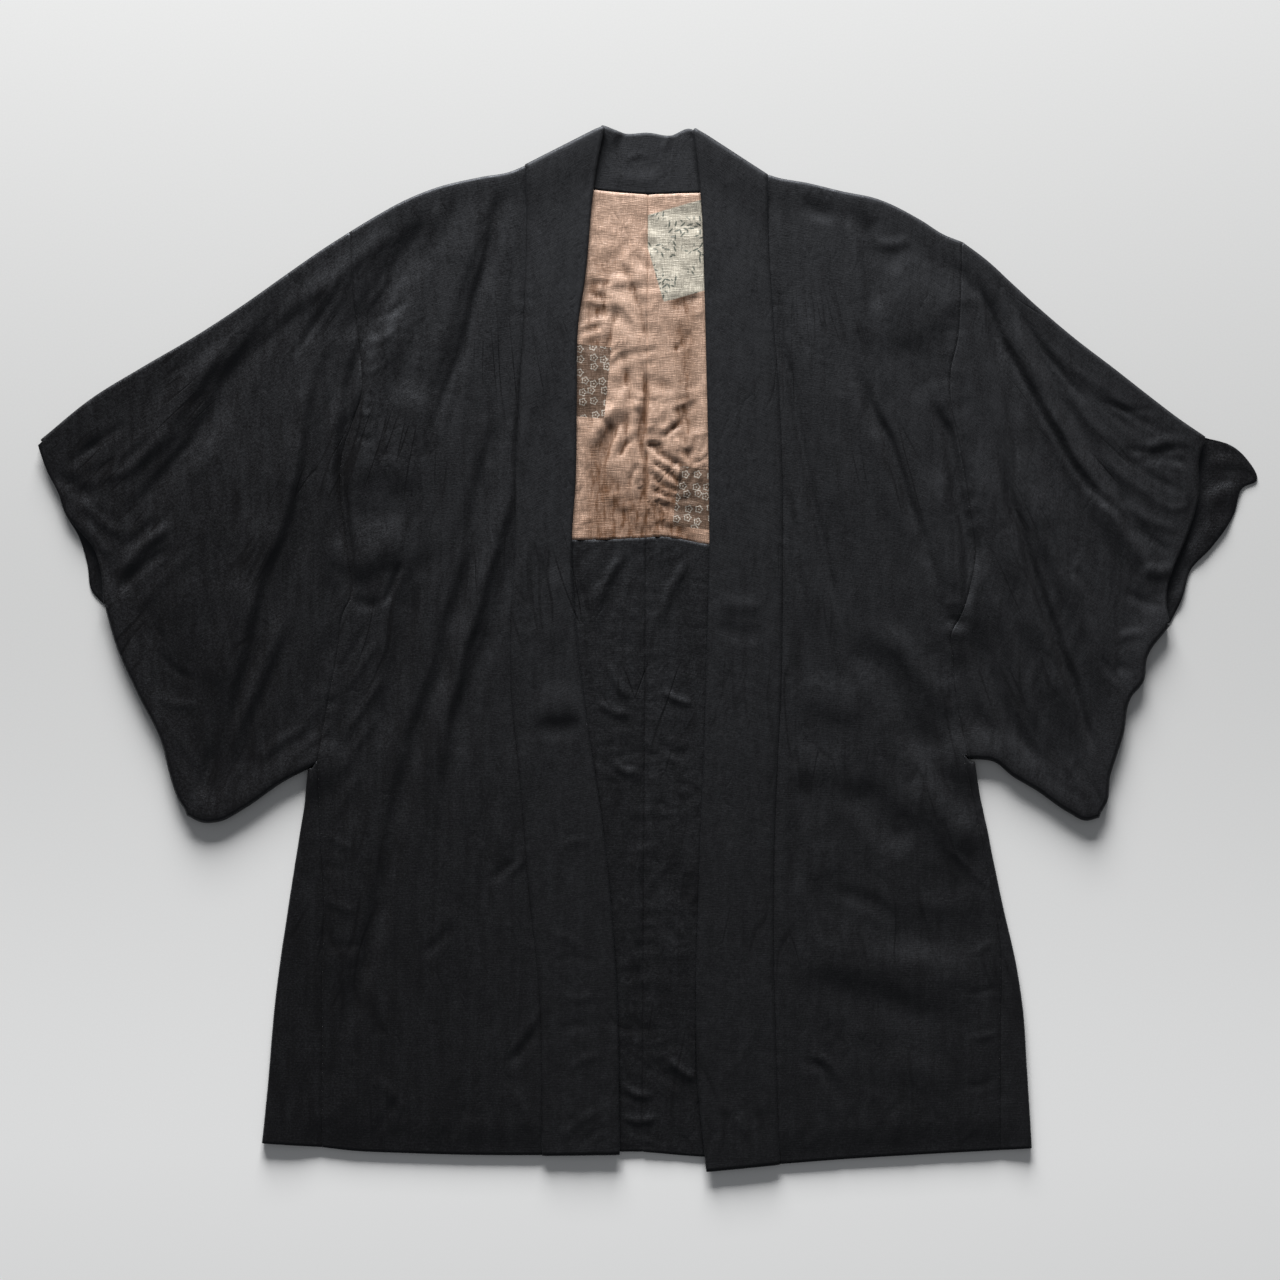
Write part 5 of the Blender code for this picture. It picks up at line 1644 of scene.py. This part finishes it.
@dataclass
class Sleeve:
    """Flattened tube: folded along the top, closed along the bottom and below the cuff, open at both ends.

    cuff_bend keeps the bends of the turned-out cuff near it. Its own folds take cuff_reach to rise.
    """

    side: Side
    columns: int = 100
    rows: int = 128
    cuff_rows: int = 60
    cuff_columns: int = 40
    cuff_bend: float = 9.0
    cuff_reach: float = 10.0
    finish: BlackSilk = BlackSilk()
    cut: Cut = Cut(0.33, 1.06, 0.25)

    def build(self) -> bpy.types.Object:
        """Makes and dresses the sleeve."""
        side, wall = self.side, Wall()
        middle = np.array([(side.armhole[0][0] + side.cuff_back[0][0]) / 2, side.cuff_back[-1][1]])
        top = evenly(side.sleeve_top, self.columns)
        top_out = outward(top, middle)
        top_out[0] = side.armhole_turn
        top -= top_out * STACK.roll
        bottom = evenly(side.sleeve_bottom, self.columns)
        end = evenly(side.sleeve_end, self.rows - self.cuff_rows)
        end_out, bottom_out = outward(end, middle), outward(bottom, middle)
        bottom_out[0] = (0.0, -1.0)
        corner = end_out[-1] + bottom_out[-1]
        end_out[-1] = bottom_out[-1] = corner / np.linalg.norm(corner)
        bottom -= bottom_out * STACK.low_roll
        end -= end_out * STACK.low_roll
        end[-1] = bottom[-1]

        layers = []
        straight = (side.armhole[0], side.armhole[-1])
        parts = ((side.cuff_front, side.armhole, 1.0), (side.cuff_back, straight, self.cuff_bend))
        for cuff, seam, reach in parts:
            inner = side.moved(evenly(seam, self.rows), 1)
            outer = np.concatenate([evenly(cuff, self.cuff_rows)[:-1], end])
            top[0], bottom[0], outer[0] = inner[0], inner[-1], top[-1]
            layers.append(patch(top, bottom, inner, outer, reach))
        distance, _, hand = nearest(layers[1], evenly(side.cuff_front, self.cuff_columns))
        bare = smooth(hand * side.sign * distance / self.cuff_reach)
        low = softly_above(STACK.flat + bare * side.cuff_relief.at(layers[1]), STACK.flat, 0.2)
        high = softly_above(side.upper(layers[0]), low + STACK.cloth + STACK.seam_gap, 0.3)
        over = wall.layer(layers[0], high, 1)
        under = wall.layer(layers[1], low, -1)
        wall.turn(over[0], under[0], top_out)
        closed = [np.concatenate([rows[self.cuff_rows:, -1], rows[-1, -2::-1]]) for rows in (over, under)]
        wall.turn(*closed, np.concatenate([end_out, bottom_out[-2::-1]]))
        thing = wall.build(f"sleeve_{side.name}_cloth", STACK.cloth)
        return dress(thing, self.finish)


@dataclass
class Gusset:
    """Wedge from the front's seam out to the side edge, over it and back to the back."""

    side: Side
    columns: int = 8
    columns_below: int = 2
    finish: BlackSilk = BlackSilk()
    cut: Cut = Cut(0.075, 0.385, 0.0165)

    def build(self) -> bpy.types.Object:
        """Makes and dresses the gusset."""
        side, wall = self.side, Wall()
        roll = (STACK.rest - STACK.flat) / 2
        seam = side.moved(evenly(side.gusset_seam, side.gusset_rows), 1)
        edge = evenly(side.gusset_edge, side.gusset_rows)
        out = outward(edge, np.array((0.0, side.gusset_edge[0][1])))
        edge -= out * roll
        back = side.moved(np.linspace(*np.array(side.back_side, float), side.gusset_rows + 1), 1)
        share = np.linspace(0.0, 1.0, self.columns + 1)[None, :, None]
        over_points = seam[:, None] + share * (edge - seam)[:, None]
        fewer = share[:, :: self.columns // self.columns_below]
        under_points = back[:, None] + fewer * (edge - back)[:, None]
        over = wall.layer(over_points, side.upper(over_points), 1)
        under = wall.layer(under_points, STACK.flat, -1)
        wall.turn(over[:, -1], under[:, -1], out)
        thing = wall.build(f"gusset_{side.name}_cloth", STACK.cloth)
        return dress(thing, self.finish)


@dataclass
class Collar:
    """Doubled band: up the left front, over at the shoulder, round the back neck and down the right front.

    neck_folds is the share of the folds' height at the back neck. They end neck_half from the middle, and die
    away over neck_fade.
    """

    columns: int = 22
    neck_columns: int = 60
    neck_folds: float = 0.5
    neck_half: float = 58.8
    neck_fade: float = 14.0
    finish: BlackSilk = BlackSilk(roughness=0.6)
    cut: Cut = Cut(0.072, 2.25, 0.156)

    def height(self, side: Side, front: Array) -> Array:
        """Height of the band's middle down one front, which comes down from its roll at the shoulder."""
        turned = np.linalg.norm(front - front[:1], axis=-1) / STACK.collar_reach
        lying = softly_above(STACK.collar + side.relief.at(front), STACK.collar - STACK.collar_sag)
        rolled = STACK.collar_back + 2 * STACK.collar_roll
        return rolled + (lying - rolled) * smooth(turned)

    def build(self) -> bpy.types.Object:
        """Makes and dresses the collar."""
        wall = Wall()
        share = np.linspace(0.0, 1.0, self.columns + 1)[None, :, None]
        neck_seam = evenly(NECKLINE, self.neck_columns) + np.array([0.0, STACK.seam_gap / 2])
        neck_edge = curve(NECK_EDGE, shares_of(neck_seam))
        fronts = []
        for side, last in ((LEFT, 0), (RIGHT, -1)):
            shares = shares_of(side.front_edge())
            seam = side.moved(curve(side.collar_seam, shares), -1)
            edge = curve(side.collar_edge, shares)
            neck_seam[last], edge[0] = seam[0], neck_edge[last]
            front = seam[:, None] + share * (edge - seam)[:, None]
            fronts.append(wall.layer(front, self.height(side, front), 1, (0.0, 200.0)))
        neck = neck_seam[:, None] + share * (neck_edge - neck_seam)[:, None]
        inside = smooth(np.abs(neck[..., 0]) / -self.neck_fade + self.neck_half / self.neck_fade)
        lying = STACK.collar_back + self.neck_folds * NECK_RELIEF.at(neck) * inside
        under = wall.layer(neck, softly_above(lying, STACK.band / 2, 0.3), -1)
        for side, over, last in ((LEFT, fronts[0], 0), (RIGHT, fronts[1], -1)):
            line = neck_edge[last] - neck_seam[last]
            square = np.array([-line[1], line[0]]) * -side.sign / np.linalg.norm(line)
            out = np.array(side.neck_turn) * (1 - share[0]) + square * share[0]
            wall.turn(over[0], under[last], out)
        thing = wall.build("collar_cloth", STACK.band)
        return dress(thing, self.finish)


FACING_SILK = BlackSilk(grain=0.0005, grain_size=0.007, roughness=0.53)


class Kind(Enum):
    """The two cloths that line the back."""

    LINING = "lining"
    FACING = "facing"


@dataclass
class Inside:
    """A half of the lining or of the hem facing: what shows of it, and a little under the collar.

    row_step is the length of cloth to a row of faces.
    """

    side: Side
    kind: Kind
    relief: Relief
    columns: int = 34
    row_step: float = 2.8

    def edges(self) -> tuple[Array, Array]:
        """The line that the cloth starts at and the line that it ends at, from the centre outwards."""
        side = self.side
        join = np.array(FACING_TOP[side.sign], float)
        if self.kind is Kind.LINING:
            first, last = side.moved(NECKLINE[CENTRE::side.sign][:4], 1, -2), join
        else:
            first, last = join, curve(side.back_hem, np.linspace(0.0, HEM_SHARE, len(join)))
        return side.moved(first, 1, -1), side.moved(last, 1, 1)

    def build(self) -> bpy.types.Object:
        """Makes and dresses the cloth."""
        first, last = self.edges()
        rows = round(abs(first[0][1] - last[0][1]) / self.row_step)
        centre = np.linspace(first[0], last[0], rows + 1)
        outer = self.side.under_collar(np.linspace(first[-1, 1], last[-1, 1], rows + 1))
        first, last = evenly(first, self.columns), evenly(last, self.columns)
        first[-1], last[-1] = outer[0], outer[-1]
        points = patch(first, last, centre, outer)
        wall = Wall()
        wall.layer(points, np.minimum(on_back(self.relief, points), self.ceiling(points)), 1)
        thing = wall.build(f"{self.kind.value}_{self.side.name}_cloth", STACK.thin)
        finish = FACING_SILK if self.kind is Kind.FACING else LiningSilk(Print(self.side.name))
        return dress(thing, finish)

    def ceiling(self, points: Array) -> Array:
        """The most that the cloth may rise: less under the collar than between the collars."""
        edge = self.side.under_collar(points[..., 1].ravel())[:, 0].reshape(points.shape[:-1])
        inside = (edge - points[..., 0]) * self.side.sign - STACK.under_collar
        return STACK.inner + STACK.ceiling + STACK.open_rise * smooth(inside / STACK.open_reach)


NECK_RELIEF = Relief(
    folds=(
        Fold(((-52, 516), (-38, 520), (-22, 512)), 8, 26, 4.0, 0.2),
        Fold(((42, 512), (56, 522), (70, 522)), 8, 26, 4.5, 0.2),
        Fold(((-24, 488), (-12, 492), (-2, 496)), 4, 5, 1.3, 0.5),
        Fold(((14, 496), (18, 508), (24, 520)), 5, 7, 1.6, 0.4),
        Fold(((-40, 474), (-10, 468), (20, 472)), 10, 12, 1.0, 0.2),
    ),
    crinkles=(Crinkle((0, 1400), 930, spacing=12, length=30, height=0.3, seed=61),),
    seed=300,
)

LINING_RELIEF = Relief(
    folds=LINING_FOLDS,
    crinkles=(
        Crinkle((0, 900), 600, spacing=15, length=34, height=0.3, seed=51, patchy=0.9),
        Crinkle((-2, 150), 60, spacing=10, length=26, height=0.9, seed=54, patchy=0.9),
    ),
    seams=(Seam(CENTRE_SEAM, dip=0.5, pucker=2.4, seed=57, width=2.5, spacing=11, reach=12),),
    seed=400,
)

FACING_RELIEF = Relief(
    folds=FACING_FOLDS,
    crinkles=(
        Crinkle((-60, 700), 900, spacing=20, length=70, height=0.5, seed=81),
        Crinkle((-900, -100), 900, spacing=10, length=30, height=0.28, seed=84, patchy=0.9),
        Crinkle((500, -900), 900, spacing=9, length=16, height=0.14, seed=87, patchy=0.9),
    ),
    seams=(Seam(CENTRE_SEAM, dip=0.5, pucker=1.1, seed=77, width=2.5, spacing=12, reach=16),),
    seed=500,
)


# ---------------------------------------------------------------- sewing


@dataclass
class Stitches:
    """A row of small hand stitches along a path that lies on the cloth."""

    name: str
    paths: Sequence[Array]
    thread: Thread
    slot: str
    spacing: float = 9.0
    length: float = 2.4
    thickness: float = 0.42
    seed: int = 5

    def guide(self) -> bpy.types.Object:
        """The paths as one object of loose edges."""
        points, edges, first = [], [], 0
        for path in self.paths:
            points += [tuple(point) for point in path * MM]
            edges += [(first + i, first + i + 1) for i in range(len(path) - 1)]
            first += len(path)
        mesh = bpy.data.meshes.new(self.name + "_guide")
        mesh.from_pydata(points, edges, [])
        return place_in_scene(mesh.name, mesh)

    @staticmethod
    def tree() -> bpy.types.NodeTree:
        """The node tree that sews: resamples the path and lays a stitch at each point."""
        found = bpy.data.node_groups.get("hand_stitches")
        if found:
            return found
        made = bpy.data.node_groups.new("hand_stitches", "GeometryNodeTree")
        face = made.interface
        face.new_socket("Geometry", in_out="INPUT", socket_type="NodeSocketGeometry")
        for name in ("Spacing", "Stitch length", "Thickness"):
            face.new_socket(name, in_out="INPUT", socket_type="NodeSocketFloat")
        face.new_socket("Seed", in_out="INPUT", socket_type="NodeSocketInt")
        face.new_socket("Thread", in_out="INPUT", socket_type="NodeSocketMaterial")
        face.new_socket("Geometry", in_out="OUTPUT", socket_type="NodeSocketGeometry")
        graph = Graph(made)
        given = graph.node("NodeGroupInput").outputs
        line = graph.node("GeometryNodeMeshToCurve", {0: given["Geometry"]}).outputs[0]
        steps = {"Curve": line, "Length": given["Spacing"]}
        even = graph.node("GeometryNodeResampleCurve", steps, mode="LENGTH").outputs[0]
        stitch = graph.node("GeometryNodeMeshIcoSphere", {"Radius": 0.5, "Subdivisions": 1}).outputs[0]
        turn = graph.node("GeometryNodeInputTangent").outputs[0]
        align = graph.node("FunctionNodeAlignRotationToVector", {"Vector": turn}, axis="X").outputs[0]
        least, most = 0.65, 1.2
        values = {"Seed": given["Seed"], 2: least, 3: most}
        sway = graph.node("FunctionNodeRandomValue", values, data_type="FLOAT").outputs[1]
        long = graph.times(given["Stitch length"], sway)
        thick = given["Thickness"]
        size = graph.node("ShaderNodeCombineXYZ", {0: long, 1: thick, 2: thick}).outputs[0]
        values = {"Points": even, "Instance": stitch, "Rotation": align, "Scale": size}
        laid = graph.node("GeometryNodeInstanceOnPoints", values).outputs[0]
        real = graph.node("GeometryNodeRealizeInstances", {0: laid}).outputs[0]
        values = {"Geometry": real, "Material": given["Thread"]}
        done = graph.node("GeometryNodeSetMaterial", values).outputs[0]
        graph.node("NodeGroupOutput", {0: done})
        return made

    def build(self) -> bpy.types.Object:
        """Sews the row and makes it a plain mesh."""
        guide, tree = self.guide(), self.tree()
        values = {
            "Spacing": self.spacing * MM, "Stitch length": self.length * MM, "Thickness": self.thickness * MM,
            "Seed": self.seed, "Thread": self.thread.material(self.name),
        }
        modifier = guide.modifiers.new("sewing", "NODES")
        modifier.node_group = tree
        for item in tree.interface.items_tree:
            if item.item_type == "SOCKET" and item.in_out == "INPUT" and item.name in values:
                modifier[item.identifier] = values[item.name]
        bpy.context.view_layer.update()
        graph = bpy.context.evaluated_depsgraph_get()
        mesh = bpy.data.meshes.new_from_object(guide.evaluated_get(graph))
        mesh.name = self.name
        bpy.data.objects.remove(guide)
        thing = place_in_scene(self.name, mesh)
        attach(thing, "root")
        report(thing)
        return thing


def on_upper(side: Side, line: Line, offset: float, top: float, steps: int = 160) -> Array:
    """A line of points that lies on the upper layer.

    Args:
        side: the side that it lies on.
        line: its course in the plane.
        offset: how far it is moved away from the jacket's middle.
        top: height above the middle of the cloth.
        steps: how many steps it is laid in.

    Returns:
        Its points in space.
    """
    flat = evenly(line, steps) + np.array([offset * side.sign, 0.0])
    return np.concatenate([flat, (side.upper(flat) + top)[:, None]], axis=1)


def sew() -> None:
    """Adds every visible row of stitches."""
    half = STACK.cloth / 2
    beside_gusset, beside_armhole, above_join = -1.2, -1.0, 1.6
    for side in (LEFT, RIGHT):
        gusset = on_upper(side, side.gusset_seam, beside_gusset, half)
        armhole = on_upper(side, side.armhole, beside_armhole, half)
        Stitches(f"stitches_{side.name}", (gusset, armhole), Thread(), f"body_{side.name}", seed=3).build()
    join = []
    for side in (LEFT, RIGHT):
        line = evenly(FACING_TOP[side.sign][:3], 40)
        height = on_back(LINING_RELIEF, line) + STACK.thin / 2
        join.append(np.concatenate([line + np.array([0.0, above_join]), height[:, None]], axis=1))
    Stitches("stitches_lining", join, Thread((0.06, 0.045, 0.04)), "lining_left", spacing=7.0, seed=9).build()


# ---------------------------------------------------------------- studio


@dataclass
class Studio:
    """Pale floor, soft window light from beyond the collar, and a camera straight above.

    Lengths are in metres, but lens and sensor are in millimetres. focus is the middle of what the camera sees
    and frame is the width of it.
    """

    focus: tuple[float, float] = (-0.008, 0.009)
    frame: float = 1.280
    lens: float = 70.0
    sensor: float = 36.0
    floor_half: float = 6.0
    floor_finish: Finish = PaleFloor()
    window_place: tuple[float, float, float] = (-0.4, 4.9, 1.25)
    window_size: tuple[float, float] = (3.0, 1.5)
    window_power: float = 820.0
    sky: Colour = (0.93, 0.96, 1.0)
    sky_strength: float = 0.15

    def camera(self) -> None:
        """Sets the camera that looks straight down."""
        data = bpy.data.cameras.new("camera")
        data.lens, data.sensor_width, data.sensor_fit = self.lens, self.sensor, "HORIZONTAL"
        distance = self.frame / 2 / (self.sensor / 2 / self.lens)
        thing = place_in_scene("camera", data)
        thing.location = (*self.focus, distance)
        bpy.context.scene.camera = thing

    def floor(self) -> None:
        """Lays the pale floor."""
        far = self.floor_half
        corners = [(-far, -far, 0), (far, -far, 0), (far, far, 0), (-far, far, 0)]
        mesh = bpy.data.meshes.new("floor")
        mesh.from_pydata(corners, [], [(0, 1, 2, 3)])
        mesh.materials.append(self.floor_finish.material("floor"))
        place_in_scene("floor", mesh)

    def window(self) -> None:
        """Adds the soft rectangular light, pointed at the jacket."""
        data = bpy.data.lights.new("window", "AREA")
        data.shape, data.energy = "RECTANGLE", self.window_power
        data.size, data.size_y = self.window_size
        thing = place_in_scene("window", data)
        thing.location = self.window_place
        x, y, z = self.window_place
        thing.rotation_euler = (math.acos(z / math.hypot(x, y, z)), 0.0, math.atan2(x, -y))

    def build(self) -> None:
        """Makes the whole studio."""
        self.camera()
        self.floor()
        self.window()
        world = bpy.data.worlds.new("studio")
        world.use_nodes = True
        light = world.node_tree.nodes["Background"].inputs
        Graph(world.node_tree).fill(light, {"Color": self.sky, "Strength": self.sky_strength})
        bpy.context.scene.world = world
        bpy.context.scene.view_settings.view_transform = "Standard"


def main() -> None:
    """Builds the jacket piece by piece, then sews it and sets up the studio."""
    logging.basicConfig(level=logging.INFO, format="%(name)s: %(message)s")
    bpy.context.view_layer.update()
    for side in (LEFT, RIGHT):
        BodyPanel(side).build()
        Sleeve(side).build()
        Gusset(side).build()
        Inside(side, Kind.LINING, LINING_RELIEF).build()
        Inside(side, Kind.FACING, FACING_RELIEF).build()
    Collar().build()
    sew()
    Studio().build()


if __name__ == "__main__":
    main()
